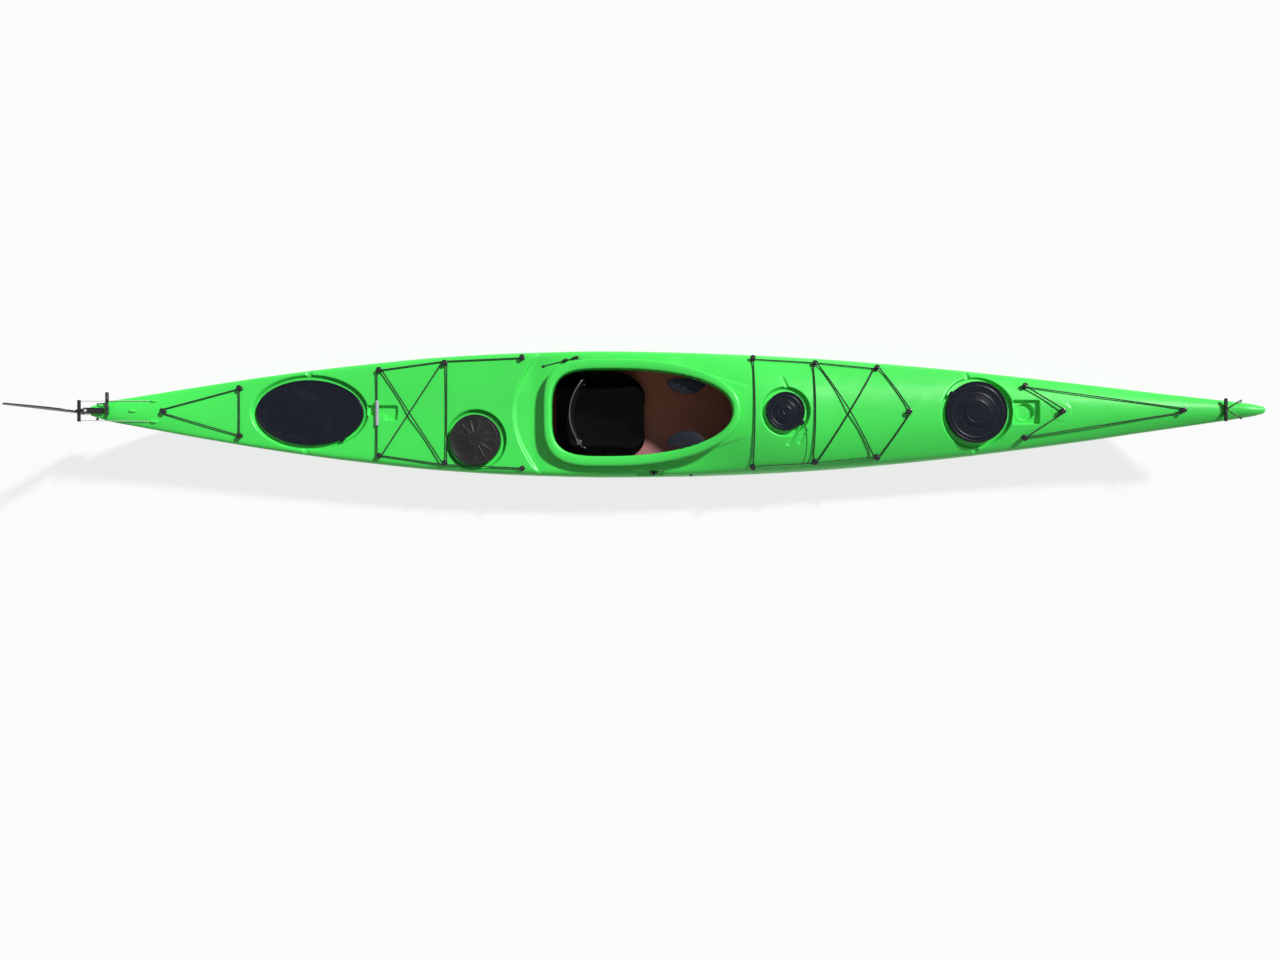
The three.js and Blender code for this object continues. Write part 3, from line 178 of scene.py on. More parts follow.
def rounded(points, radius, steps=4, closed=False):
    """Line with each corner swapped for a quadratic curve that starts and ends up to radius from it,
    and never past the middle of a side."""
    p = np.array(points, float)
    corner = p if closed else p[1:-1]
    back = (np.roll(p, 1, 0) if closed else p[:-2]) - corner
    ahead = (np.roll(p, -1, 0) if closed else p[2:]) - corner
    back *= np.minimum(radius / np.linalg.norm(back, axis=1, keepdims=True), 0.5)
    ahead *= np.minimum(radius / np.linalg.norm(ahead, axis=1, keepdims=True), 0.5)
    t = np.linspace(0, 1, steps + 1)[None, :, None]
    bend = corner[:, None] + back[:, None] * (1 - t) ** 2 + ahead[:, None] * t ** 2
    bend = bend.reshape(-1, p.shape[1])
    return bend if closed else np.concatenate([p[:1], bend, p[-1:]])


def smooth_path(points, per_span, closed=False):
    """Catmull-Rom curve through the points, with per_span steps in each span."""
    p = np.array(points, float)
    if closed:
        a, b, c, d = np.roll(p, 1, 0), p, np.roll(p, -1, 0), np.roll(p, -2, 0)
    else:
        q = np.concatenate([2 * p[:1] - p[1:2], p, 2 * p[-1:] - p[-2:-1]])
        a, b, c, d = q[:-3], q[1:-2], q[2:-1], q[3:]
    t = (np.arange(per_span) / per_span)[None, :, None]
    a, b, c, d = a[:, None], b[:, None], c[:, None], d[:, None]
    second, third = 2 * a - 5 * b + 4 * c - d, 3 * b - a - 3 * c + d
    path = (0.5 * (2 * b + (c - a) * t + second * t ** 2 + third * t ** 3)).reshape(-1, 3)
    return path if closed else np.concatenate([path, p[-1:]])


def sheet(points, wrap_rows=False, wrap_cols=False, keep=None, run=None):
    """One grid of points as (vertices, quads, corner UVs). U goes round the columns and V is run, or the
    row's number. keep leaves out quads."""
    rows, cols = points.shape[:2]
    r = np.arange(rows if wrap_rows else rows - 1)[:, None]
    c = np.arange(cols if wrap_cols else cols - 1)[None, :]
    down, over = (r + 1) % rows, (c + 1) % cols
    quads = np.stack([r * cols + c, r * cols + over, down * cols + over, down * cols + c], -1)
    along = np.arange(rows + 1, dtype=float) if run is None else np.append(run, 2 * run[-1] - run[-2])
    u = np.stack(np.broadcast_arrays(c, c + 1, c + 1, c), -1) / cols
    v = np.stack(np.broadcast_arrays(along[r], along[r], along[r + 1], along[r + 1]), -1)
    uv = np.stack([np.broadcast_to(u, quads.shape), np.broadcast_to(v, quads.shape)], -1)
    if keep is not None:
        quads, uv = quads[keep], uv[keep]
    return points.reshape(-1, 3), quads.reshape(-1, 4), uv.reshape(-1, 2)


def tube(path, radius, sides, closed=False, up=(0, 0, 1)):
    """Round cord along a path: circles of radius in the plane square to the path, whose first axis is
    the path's direction crossed with up. An open cord's ends close over a small dome of three rings."""
    p = np.array(path, float)
    along = unit_rows(np.roll(p, -1, 0) - np.roll(p, 1, 0) if closed else np.gradient(p, axis=0))
    side = unit_rows(np.cross(along, np.array(up, float)))
    lift = np.cross(side, along)
    size = np.broadcast_to(np.array(radius, float), len(p))[:, None, None]
    if not closed:
        end = np.array([0, 0, 0, -1, -1, -1])
        cap = size[end] * np.array([0, 0.6, 0.9, 0.9, 0.6, 0])[:, None, None]
        reach = np.array([-0.45, -0.35, -0.15, 0.15, 0.35, 0.45])[:, None] * size[end, 0]
        tips = p[end] + along[end] * reach
        p = np.concatenate([tips[:3], p, tips[3:]])
        size = np.concatenate([cap[:3], size, cap[3:]])
        side, lift = (np.pad(axis, ((3, 3), (0, 0)), "edge") for axis in (side, lift))
    angle = -circle(sides)[None, :, None]
    ring = np.cos(angle) * side[:, None] + np.sin(angle) * lift[:, None]
    run = np.concatenate([[0], np.cumsum(np.linalg.norm(np.diff(p, axis=0), axis=1))])
    return sheet(p[:, None] + ring * size, wrap_rows=closed, wrap_cols=True, run=run * MM)


def turned(profile, sides, stretch=(1, 1), place=(0, 0, 0), tilt=None):
    """Profile of (radius, height) turned about Z, stretched to an oval, turned by the matrix tilt and moved
    to its place."""
    radius, height = np.array(profile, float).T
    angle = circle(sides)[:, None]
    p = np.stack([
        radius * np.cos(angle) * stretch[0],
        radius * np.sin(angle) * stretch[1],
        height + 0 * angle,
    ], -1)
    return sheet(placed(p, place, tilt), wrap_rows=True)


def pillow(place, half, power=0.4, tilt=None, fine=10):
    """Rounded block: a superellipsoid, whose points are signed powers of the sines and cosines of two
    angles, times the half sizes. A small power makes it boxy."""
    up = np.linspace(-np.pi / 2, np.pi / 2, 2 * fine + 1)[:, None]
    turn = circle(4 * fine)[None, :]
    level = signed_power(np.cos(up), power)
    p = np.stack([
        level * signed_power(np.cos(turn), power) * half[0],
        level * signed_power(np.sin(turn), power) * half[1],
        signed_power(np.sin(up), power) * half[2] + 0 * turn,
    ], -1)
    return sheet(placed(p, place, tilt), wrap_cols=True)


def about_y(angle):
    """Rotation about Y, as the hatches and plates are pitched: the angle's cosines and sines."""
    c, s = math.cos(angle), math.sin(angle)
    return np.array([[c, 0, s], [0, 1, 0], [-s, 0, c]])


def about_z(angle):
    """Rotation about Z: the angle's cosines and sines."""
    c, s = math.cos(angle), math.sin(angle)
    return np.array([[c, -s, 0], [s, c, 0], [0, 0, 1]])


def onto(normal):
    """Rotation that takes Z to a unit normal by the shortest way: identity, plus the cross product's matrix,
    plus its square over one more than the normal's height."""
    n = np.array(normal, float)
    v = np.cross([0, 0, 1], n)
    k = np.array([[0, -v[2], v[1]], [v[2], 0, -v[0]], [-v[1], v[0], 0]])
    return np.eye(3) + k + k @ k / (1 + n[2])


# Pieces


def in_scene(name, data):
    """Object for a mesh, camera or lamp, linked to the scene."""
    made = bpy.data.objects.new(name, data)
    bpy.context.scene.collection.objects.link(made)
    return made


def piece(name, sheets, finish, body="hull_body", replaced=(), weld=True, normals=None):
    """Joins sheets into one mesh object, closes its seams, gives it a finish and ties it to the frame."""
    points = np.concatenate([s[0] for s in sheets]) * MM
    starts = np.cumsum([0] + [len(s[0]) for s in sheets])
    quads = np.concatenate([s[1] + start for s, start in zip(sheets, starts)])
    uv = np.concatenate([s[2] for s in sheets])
    mesh = bpy.data.meshes.new(name)
    mesh.vertices.add(len(points))
    mesh.vertices.foreach_set("co", points.astype(np.float32).ravel())
    mesh.loops.add(quads.size)
    mesh.loops.foreach_set("vertex_index", quads.astype(np.int32).ravel())
    mesh.polygons.add(len(quads))
    mesh.polygons.foreach_set("loop_start", np.arange(0, quads.size, 4, dtype=np.int32))
    mesh.uv_layers.new(name="UVMap").data.foreach_set("uv", uv.astype(np.float32).ravel())
    mesh.update(calc_edges=True)
    if weld:
        bm = bmesh.new()
        bm.from_mesh(mesh)
        bmesh.ops.remove_doubles(bm, verts=bm.verts, dist=2e-6)
        bmesh.ops.recalc_face_normals(bm, faces=bm.faces)
        bm.to_mesh(mesh)
        bm.free()
    mesh.validate()
    mesh.polygons.foreach_set("use_smooth", np.ones(len(mesh.polygons), bool))
    if normals is not None:
        mesh.normals_split_custom_set_from_vertices(normals)
    mesh.update()
    return tied(name, mesh, finish, body, replaced)


def tied(name, mesh, finish, body, replaced):
    """Object for a mesh with its finish, riding its body in place of the CAD nodes it stands for."""
    mesh.materials.append(paints()[finish])
    made = in_scene(name, mesh)
    if body:
        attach(made, body)
    if replaced:
        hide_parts(*replaced)
    return made


def hull_piece(name, sheets, finish="hull", **options):
    """Piece that is a part of the hull's one moulding."""
    piece(name, sheets, finish, "hull_body", ("hull",), **options)


def softened(name, node, finish, body, width):
    """Copy of a CAD node with its loose triangles merged, its flat faces joined and its edges rounded."""
    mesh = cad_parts[node].data.copy()
    mesh.name = name
    bm = bmesh.new()
    bm.from_mesh(mesh)
    bmesh.ops.remove_doubles(bm, verts=bm.verts, dist=2e-5)
    bmesh.ops.dissolve_limit(bm, angle_limit=math.radians(1), verts=bm.verts, edges=bm.edges)
    bm.to_mesh(mesh)
    bm.free()
    mesh.polygons.foreach_set("use_smooth", np.ones(len(mesh.polygons), bool))
    mesh.materials.clear()
    made = tied(name, mesh, finish, body, (node,))
    bevel = made.modifiers.new("Rounded edges", "BEVEL")
    bevel.width = width
    bevel.segments = 3
    bevel.limit_method = "ANGLE"
    bevel.angle_limit = math.radians(32)
    bevel.harden_normals = True
    bevel.use_clamp_overlap = True
    return made


# Materials


def add_node(tree, kind, inputs=(), output=0, **settings):
    """Adds a shader node, sets its settings, links or sets its inputs, and returns one of its outputs.
    Inputs come in order, or by name or number, and a colour is linear RGB."""
    added = tree.nodes.new("ShaderNode" + kind)
    for key, value in settings.items():
        setattr(added, key, value)
    for key, value in inputs.items() if isinstance(inputs, dict) else enumerate(inputs):
        socket = added.inputs[key]
        if isinstance(value, bpy.types.NodeSocket):
            tree.links.new(value, socket)
        else:
            socket.default_value = (*value, 1) if socket.type == "RGBA" else value
    return added.outputs[output]


# A Mix node's settings for colours, where inputs 0, 6 and 7 are the factor and the two colours
COLOURS = {"output": 2, "data_type": "RGBA"}


def start_material(name, base, roughness, **sockets):
    """New material, with its shader's even values set on the shader itself, and its node tree."""
    made = bpy.data.materials.new(name)
    made.use_nodes = True
    shader = made.node_tree.nodes["Principled BSDF"]
    shader.inputs["Base Color"].default_value = (*base, 1)
    shader.inputs["Roughness"].default_value = roughness
    for key, value in sockets.items():
        shader.inputs[key.replace("_", " ").title().replace("Ior", "IOR")].default_value = value
    return made, made.node_tree


def patterned(made, **sockets):
    """The material, with its shader's base_color, roughness and normal linked to the patterns given."""
    tree = made.node_tree
    for key, value in sockets.items():
        tree.links.new(value, tree.nodes["Principled BSDF"].inputs[key.replace("_", " ").title()])
    return made


def pattern(tree, size, detail=2.0, stretch=(1, 1, 1), rough=0.5):
    """Noise on Object coordinates, whose blotches are size millimetres across, longer along an axis by
    stretch."""
    place = add_node(tree, "TexCoord", output="Object")
    scale = tuple(1 / (size * MM * s) for s in stretch)
    moved = add_node(tree, "Mapping", {"Vector": place, "Scale": scale})
    return add_node(tree, "TexNoise", {"Vector": moved, "Scale": 1.0, "Detail": detail, "Roughness": rough})


def shaded(base, factor):
    """A colour made darker or lighter by a factor, held at 1."""
    return tuple(min(c * factor, 1) for c in base)


def rotomoulded_skin(name, base):
    """Outer face of rotomoulded polyethylene: even saturated colour, a fine satin orange-peel grain, faint
    waves from the mould's cooling, and pale drag marks low on the hull."""
    made, tree = start_material(name, base, 0.34, specular_ior_level=0.38)
    # Broad drifts of shade, from uneven wall thickness, keep the long panels from looking flat
    drift = add_node(tree, "MapRange", (pattern(tree, 350, 1.0, (2.5, 1, 1)), 0.3, 0.7, 0, 1))
    tone = add_node(tree, "Mix", {0: drift, 6: shaded(base, 0.93), 7: shaded(base, 1.05)}, **COLOURS)
    # Drag marks run along the boat, and only where it lies on the beach
    height = add_node(tree, "SeparateXYZ", [add_node(tree, "TexCoord", output="Object")], "Z")
    low = add_node(tree, "MapRange", (height, 0.02, 0.11, 1, 0))
    streak = add_node(tree, "MapRange", (pattern(tree, 3.5, 3.0, (60, 1, 1), 0.6), 0.62, 0.72, 0, 0.55))
    worn = add_node(tree, "Math", (low, streak), operation="MULTIPLY")
    pale = tuple(0.75 * c + 0.2 for c in base)
    marked = add_node(tree, "Mix", {0: worn, 6: tone, 7: pale}, **COLOURS)
    # The sheen is patchy, and the marks are dull
    sheen = add_node(tree, "MapRange", (pattern(tree, 50, 3.0), 0.35, 0.65, 0.29, 0.38))
    rough = add_node(tree, "Math", (sheen, worn), operation="ADD")
    # Orange peel, about a millimetre across and some hundredths deep, over waves a hand wide
    peel = add_node(tree, "Bump", {"Height": pattern(tree, 1.6), "Distance": 0.06 * MM})
    waves = add_node(tree, "Bump", {"Height": pattern(tree, 90, 1.0), "Distance": 0.4 * MM, "Normal": peel})
    return patterned(made, base_color=marked, roughness=rough, normal=waves)


def inner_skin(name, base):
    """Inner face of the moulding, where the powder fused in air: duller, mottled and slightly pitted, with
    painted shade that makes its starboard side darker and cooler.
    """
    made, tree = start_material(name, base, 0.62, specular_ior_level=0.3)
    blotch = add_node(tree, "MapRange", (pattern(tree, 160, 3.0, (1.6, 1, 1)), 0.32, 0.68, 0, 0.25))
    grain = add_node(tree, "MapRange", (pattern(tree, 4), 0.3, 0.7, 0, 1))
    warm = add_node(tree, "Mix", {0: grain, 6: shaded(base, 0.85), 7: shaded(base, 1.12)}, **COLOURS)
    # Painted shade: the tone turns darker and cooler from port to starboard, the side away from the lamp,
    # over blotches a hand wide
    across = add_node(tree, "SeparateXYZ", [add_node(tree, "TexCoord", output="Object")], "Y")
    # 0 on the starboard side, which is painted in shade, rising towards port, which is painted lit
    side = add_node(tree, "MapRange", (across, -0.2, 0.06, 0, 0.75))
    lit_side_and_blotch = add_node(tree, "Math", (side, blotch), operation="ADD")
    # Painted shade colour: the base darkened and cooled
    painted_shade_tone = (base[0] * 0.42, base[1] * 0.5, base[2] * 1.1)
    tint = add_node(tree, "Mix", {0: lit_side_and_blotch, 6: painted_shade_tone, 7: warm}, **COLOURS)
    pits = add_node(tree, "Bump", {"Height": pattern(tree, 2.5), "Distance": 0.25 * MM})
    return patterned(made, base_color=tint, normal=pits)


def moulded(name, base, roughness, grain, depth, wear, **sockets):
    """Injection-moulded or pressed part: fine spark grain, patchy sheen from handling, and a dusting that
    lightens it unevenly. Grain and depth are in millimetres."""
    made, tree = start_material(name, base, roughness, **sockets)
    dust = add_node(tree, "MapRange", (pattern(tree, 35, 4.0, rough=0.6), 0.48, 0.72, 0, 0.5 * wear))
    greyed = tuple(0.8 * c + 0.035 for c in base)
    dusted = add_node(tree, "Mix", {0: dust, 6: base, 7: greyed}, **COLOURS)
    dull = min(roughness * 1.2, 1)
    patch = add_node(tree, "MapRange", (pattern(tree, 20, 3.0), 0.35, 0.65, roughness * 0.85, dull))
    sparks = add_node(tree, "Bump", {"Height": pattern(tree, grain), "Distance": depth * MM})
    return patterned(made, base_color=dusted, roughness=patch, normal=sparks)


def cell_foam(name, base):
    """Closed-cell foam cut from a block: small round cells, open at the cut face."""
    made, tree = start_material(name, base, 0.9)
    place = add_node(tree, "TexCoord", output="Object")
    # 0.7 cells to the millimetre: each is 1.4 mm across
    cells = add_node(tree, "TexVoronoi", {"Vector": place, "Scale": 0.7 / MM}, "Distance")
    shade = add_node(tree, "MapRange", (cells, 0.1, 0.7, 0, 1))
    tone = add_node(tree, "Mix", {0: shade, 6: shaded(base, 0.6), 7: shaded(base, 1.2)}, **COLOURS)
    open_cells = add_node(tree, "Bump", {"Height": cells, "Distance": 0.5 * MM, "Strength": 0.6})
    return patterned(made, base_color=tone, normal=open_cells)


def coated_cloth(name, base):
    """Plain-woven nylon with a rubbery coat: crossed threads half a millimetre wide, softened."""
    made, tree = start_material(name, base, 0.75, sheen_weight=0.15)
    place = add_node(tree, "TexCoord", output="Object")
    # A wave repeats every pi / 10 over its scale: here 0.98 mm, a thread and the gap beside it
    waves = {"Vector": place, "Scale": 0.32 / MM}
    across, upright = (add_node(tree, "TexWave", waves, "Fac", bands_direction=way) for way in "XZ")
    weave = add_node(tree, "Math", (across, upright), operation="MULTIPLY")
    tone = add_node(tree, "Mix", {0: weave, 6: shaded(base, 0.7), 7: shaded(base, 1.4)}, **COLOURS)
    threads = add_node(tree, "Bump", {"Height": weave, "Distance": 0.15 * MM})
    return patterned(made, base_color=tone, normal=threads)


def drawn_metal(name, base, roughness):
    """Drawn or rolled metal: hairlines along the part, and a few dulled patches."""
    made, tree = start_material(name, base, roughness, metallic=1.0)
    lines = pattern(tree, 0.6, 2.0, (30, 1, 1))
    rough = add_node(tree, "MapRange", (lines, 0.3, 0.7, roughness * 0.75, roughness * 1.4))
    dull = add_node(tree, "MapRange", (pattern(tree, 20, 3.0), 0.5, 0.75, 0, 0.5))
    tone = add_node(tree, "Mix", {0: dull, 6: base, 7: shaded(base, 0.7)}, **COLOURS)
    hairlines = add_node(tree, "Bump", {"Height": lines, "Distance": 0.02 * MM})
    return patterned(made, base_color=tone, roughness=rough, normal=hairlines)


def braided(name, base, fleck, strand):
    """Braided sheath on the cord's own UV: two sets of strands, each strand millimetres apart, wind round it
    in opposite ways, and some are pale tracer yarns. V is metres along the cord and U is once round it."""
    made, tree = start_material(name, base, 0.8)
    where = add_node(tree, "TexCoord", output="UV")
    around, along = (add_node(tree, "SeparateXYZ", [where], way) for way in "XY")

    def wound(turns):
        """Phase of a strand: runs along the cord, plus its turns round it."""
        run = add_node(tree, "Math", (along, 1 / (strand * MM)), operation="MULTIPLY")
        turn = add_node(tree, "Math", (around, turns), operation="MULTIPLY")
        return add_node(tree, "Math", (run, turn), operation="ADD")

    def ridge(phase):
        """Sine of a phase counted in full turns."""
        angle = add_node(tree, "Math", (phase, 2 * math.pi), operation="MULTIPLY")
        return add_node(tree, "Math", [angle], operation="SINE")

    one, two = ridge(wound(4.0)), ridge(wound(-4.0))
    over = add_node(tree, "Math", (one, two), operation="MAXIMUM")
    shade = add_node(tree, "MapRange", (over, -0.6, 1, 0, 1))
    plain = add_node(tree, "Mix", {0: shade, 6: shaded(base, 0.45), 7: shaded(base, 1.5)}, **COLOURS)
    # Tracer yarns show where a slower wave meets the strands of one set
    slow = ridge(add_node(tree, "Math", (wound(2.0), 0.5), operation="MULTIPLY"))
    crest = add_node(tree, "MapRange", (two, 0, 1, 0, 1))
    both = add_node(tree, "Math", (slow, crest), operation="MULTIPLY")
    tracer = add_node(tree, "MapRange", (both, 0.5, 0.7, 0, 1))
    tone = add_node(tree, "Mix", {0: tracer, 6: plain, 7: fleck}, **COLOURS)
    strands = add_node(tree, "Bump", {"Height": over, "Distance": 0.3 * MM, "Strength": 0.7})
    return patterned(made, base_color=tone, normal=strands)


def paints():
    """All the boat's finishes, made once from the colours in the panel."""
    if "Hull skin, rotomoulded polyethylene" in bpy.data.materials:
        return {m["key"]: m for m in bpy.data.materials if "key" in m}
    c = bpy.context.scene.kayak_colours
    hull, inside, cover, day = (tuple(v) for v in (c.hull, c.inside, c.cover, c.day_cover))
    seat, fitting, cord, fleck, blade = (tuple(v) for v in (c.seat, c.fitting, c.cord, c.fleck, c.blade))
    made = {
        "hull": rotomoulded_skin("Hull skin, rotomoulded polyethylene", hull),
        "inside": inner_skin("Hull lining, fused polyethylene", inside),
        "cover": moulded("Hatch cover, pressed rubber", cover, 0.3, 2, 0.08, 0.3, specular_ior_level=0.1),
        "day_cover": moulded("Ribbed cover, moulded rubber", day, 0.45, 1.5, 0.1, 0.6,
                             specular_ior_level=0.18),
        "seat": moulded("Formed plastic, glossy black shell", seat, 0.3, 4, 0.03, 0.05,
                        specular_ior_level=0.05),
        # Painted highlight: the backrest takes the seat's colour made twice as light, so that its glossy arc
        # reads light grey
        "back": moulded("Backrest band, satin plastic", shaded(seat, 2.0), 0.34, 4, 0.03, 0.1,
                        specular_ior_level=1.0),
        "fitting": moulded("Fittings, glass-filled nylon", fitting, 0.24, 0.8, 0.04, 0.4,
                           specular_ior_level=0.35),
        "pad": moulded("Thigh brace, moulded foam rubber", cover, 0.6, 1.2, 0.2, 0.3,
                       specular_ior_level=0.15),
        "blade": moulded("Rudder and skeg plate, rolled plastic", blade, 0.4, 1, 0.05, 0.7,
                         specular_ior_level=0.25),
        "foam": cell_foam("Bulkhead, closed-cell foam", linear("#3A3C40")),
        "cloth": coated_cloth("Hanging pod, coated nylon", linear("#17181C")),
        "steel": drawn_metal("Pins and wires, drawn stainless steel", linear("#C4C6C8"), 0.28),
        "aluminium": drawn_metal("Foot rail, anodised aluminium", linear("#9C9FA3"), 0.4),
        "rope": braided("Perimeter rope, flecked braid", cord, fleck, 5),
        "bungee": braided("Shock cord, fine black braid", shaded(cord, 0.8), shaded(cord, 1.6), 4),
        "sleeve": moulded("Sleeve, reflective tape", linear("#9DA0AA"), 0.35, 0.8, 0.06, 0.4),
    }
    for key, material in made.items():
        material["key"] = key
    return made


# Lines of the hull, as in the part's source: place from the stern, and a share of the beam or depth
BEAM = through([
    [0, 0.075], [0.014, 0.155], [0.035, 0.226], [0.0975, 0.43], [0.16, 0.612], [0.225, 0.765],
    [0.3, 0.9], [0.37, 0.97], [0.44, 1], [0.5, 0.988], [0.56, 0.955], [0.62, 0.9], [0.68, 0.816],
    [0.74, 0.712], [0.8, 0.583], [0.86, 0.442], [0.92, 0.287], [0.96, 0.185], [0.985, 0.118],
    [0.995, 0.088], [1, 0.062],
])
KEEL = through([
    [0, 0.83], [0.017, 0.59], [0.037, 0.375], [0.056, 0.262], [0.076, 0.213], [0.115, 0.16],
    [0.155, 0.123], [0.195, 0.094], [0.235, 0.069], [0.275, 0.044], [0.316, 0.02], [0.357, 0.004],
    [0.38, 0], [0.52, 0], [0.58, 0.03], [0.65, 0.05], [0.71, 0.07], [0.77, 0.093], [0.815, 0.119],
    [0.857, 0.158], [0.88, 0.19], [0.9, 0.25], [0.921, 0.372], [0.942, 0.515], [0.963, 0.683],
    [0.985, 0.86], [1, 0.975],
])
GUNWALE = through([
    [0, 0.865], [0.02, 0.835], [0.08, 0.735], [0.16, 0.65], [0.24, 0.586], [0.32, 0.545], [0.4, 0.51],
    [0.48, 0.48], [0.54, 0.45], [0.6, 0.445], [0.67, 0.472], [0.74, 0.523], [0.8, 0.586], [0.86, 0.667],
    [0.9, 0.74], [0.94, 0.825], [0.975, 0.91], [1, 0.98],
])
DECK_EDGE = through([
    [0, 0.9], [0.02, 0.87], [0.08, 0.79], [0.16, 0.722], [0.24, 0.682], [0.32, 0.665], [0.4, 0.66],
    [0.48, 0.652], [0.54, 0.626], [0.6, 0.6], [0.67, 0.6], [0.74, 0.632], [0.8, 0.677],
    [0.86, 0.742], [0.9, 0.802], [0.94, 0.87], [0.975, 0.95], [1, 0.99],
])
DECK_RIDGE = through([
    [0, 0.925], [0.02, 0.91], [0.05, 0.875], [0.08, 0.83], [0.115, 0.785], [0.155, 0.748],
    [0.195, 0.722], [0.235, 0.702], [0.275, 0.69], [0.32, 0.68], [0.36, 0.672], [0.4, 0.675],
    [0.44, 0.69], [0.48, 0.74], [0.52, 0.82], [0.56, 0.893], [0.583, 0.905], [0.61, 0.888],
    [0.646, 0.85], [0.69, 0.83], [0.73, 0.815], [0.772, 0.81], [0.814, 0.835], [0.857, 0.868],
    [0.9, 0.915], [0.942, 0.96], [0.97, 1], [0.99, 1.045], [1, 1.03],
])
VEE = through([
    [0, 0.75], [0.06, 0.7], [0.15, 0.45], [0.3, 0.25], [0.45, 0.14], [0.6, 0.18], [0.75, 0.4],
    [0.88, 0.62], [1, 0.7],
])


def share_at(x):
    """Share of the boat's length from the stern."""
    return x / LENGTH + 0.5


def place_of(share):
    """Place along the boat at a share of its length from the stern, where 0 is the middle."""
    return (share - 0.5) * LENGTH


def half_at(x):
    """Half breadth at the gunwale: the half beam times the beam line's share there."""
    return HALF_BEAM * BEAM(share_at(x))


def keel_flat(half):
    """Half breadth of the keel's flat: three tenths of the half breadth, up to its full width."""
    return np.minimum(KEEL_FLAT, half * 0.3)


def plain_deck(x, u):
    """Deck before its recesses: a crown that falls with |u|^2.2, and a shoulder that falls with
    sqrt(1 - |u|^24) to the gunwale, where u is the share of the half breadth."""
    u = np.clip(np.abs(u), 0, 1)
    s = share_at(x)
    gunwale, edge, ridge = DEPTH * GUNWALE(s), DEPTH * DECK_EDGE(s), DEPTH * DECK_RIDGE(s)
    return gunwale + (ridge - edge) * (1 - u ** 2.2) + (edge - gunwale) * np.sqrt(1 - u ** 24)


def plain_bottom(x, v):
    """Bottom: a vee plus a bilge that turns up with 1 - sqrt(1 - v^3), where v runs from the keel flat to
    the gunwale."""
    s = share_at(x)
    keel, gunwale, vee = DEPTH * KEEL(s), DEPTH * GUNWALE(s), VEE(s)
    return keel + (gunwale - keel) * (vee * v + (1 - vee) * (1 - np.sqrt(1 - v ** 3)))


class Hatch:
    """Place, cover size and heights of one hatch, worked out as in the part's source."""

    def __init__(self, place, across, long, wide, stand, dome):
        self.x = place_of(place)
        self.y = across * float(half_at(self.x))
        self.outer = np.array([long / 2, wide / 2])
        self.stand = stand * RECESS
        self.dome = dome
        self.top = float(plain_deck(self.x, across)) - RECESS + self.stand
        rear = float(plain_deck(self.x - long / 2, across))
        fore = float(plain_deck(self.x + long / 2, across))
        self.pitch = math.atan2(rear - fore, long)

    def oval(self, gap):
        """Half sizes of the cover's outline, made smaller by a gap as in the part's source."""
        return self.outer * (1 - gap / self.outer[1])

    def level(self, x, y, half):
        """Below 1 inside an oval: the length of the offset from its middle, in half sizes."""
        return np.hypot((x - self.x) / half[0], (y - self.y) / half[1])


HATCHES = {
    "stern": Hatch(0.1834, 0, 479, 294, 0.75, 3.6),
    "day": Hatch(0.3273, -0.452, 228, 228, 1.9, 2.4),
    "fore": Hatch(0.596, 0, 173, 173, 0.75, 2.4),
    "bow": Hatch(0.7625, 0, 276, 276, 0.65, 3.0),
}
# How far in from a cover's edge its rim's outer and inner faces lie
RIM_OUTER, RIM_INNER = 5.6, 14.6

# Drain channels through the recess edges and short moulded grooves: from, to, half width, depth
CHANNELS = [
    (-1650, 150, -1652, 178, 17, 17), (-1664, -150, -1668, -178, 17, 15),
    (1334, 140, 1330, 172, 16, 16), (1366, -142, 1372, -170, 16, 15),
    (546, -94, 516, -142, 13, 8), (588, -86, 566, -136, 12, 7),
    (506, 106, 490, 148, 13, 8), (-900, -236, -880, -252, 14, 12),
]
# Place of the compass along the boat
COMPASS_X = 1583.4
# Boxed pockets: centre, half sizes, corner, depth
POCKETS = [
    (-1321, 10.5, 70, 23.5, 8, 15), (-1283, -1, 29, 34, 10, 15),
    (COMPASS_X, -2, 59, 55, 7, 17),
]
# The compass's round cup, and the raised disc round the stud ahead of it
CUP_RADIUS, CUP_DEPTH = 40, 13
DISC_X, DISC_RADIUS, DISC_HEIGHT = 1736.8, 44, 1.6
# Dish round the cockpit: its arc-shaped step on the middle line, how far the arc comes forward at the sides,
# where the dish starts to fade ahead, and where it is deepest, just behind the coaming
STEP_X, STEP_SWEEP, FADE_X, DEEPEST_X = -732, 92, 40, -640
# Knees: where they start, their half breadth there, how fast they close in, and their depth
KNEE_X, KNEE_HALF, KNEE_TAPER, KNEE_DEPTH = -60, 236, 0.33, 6


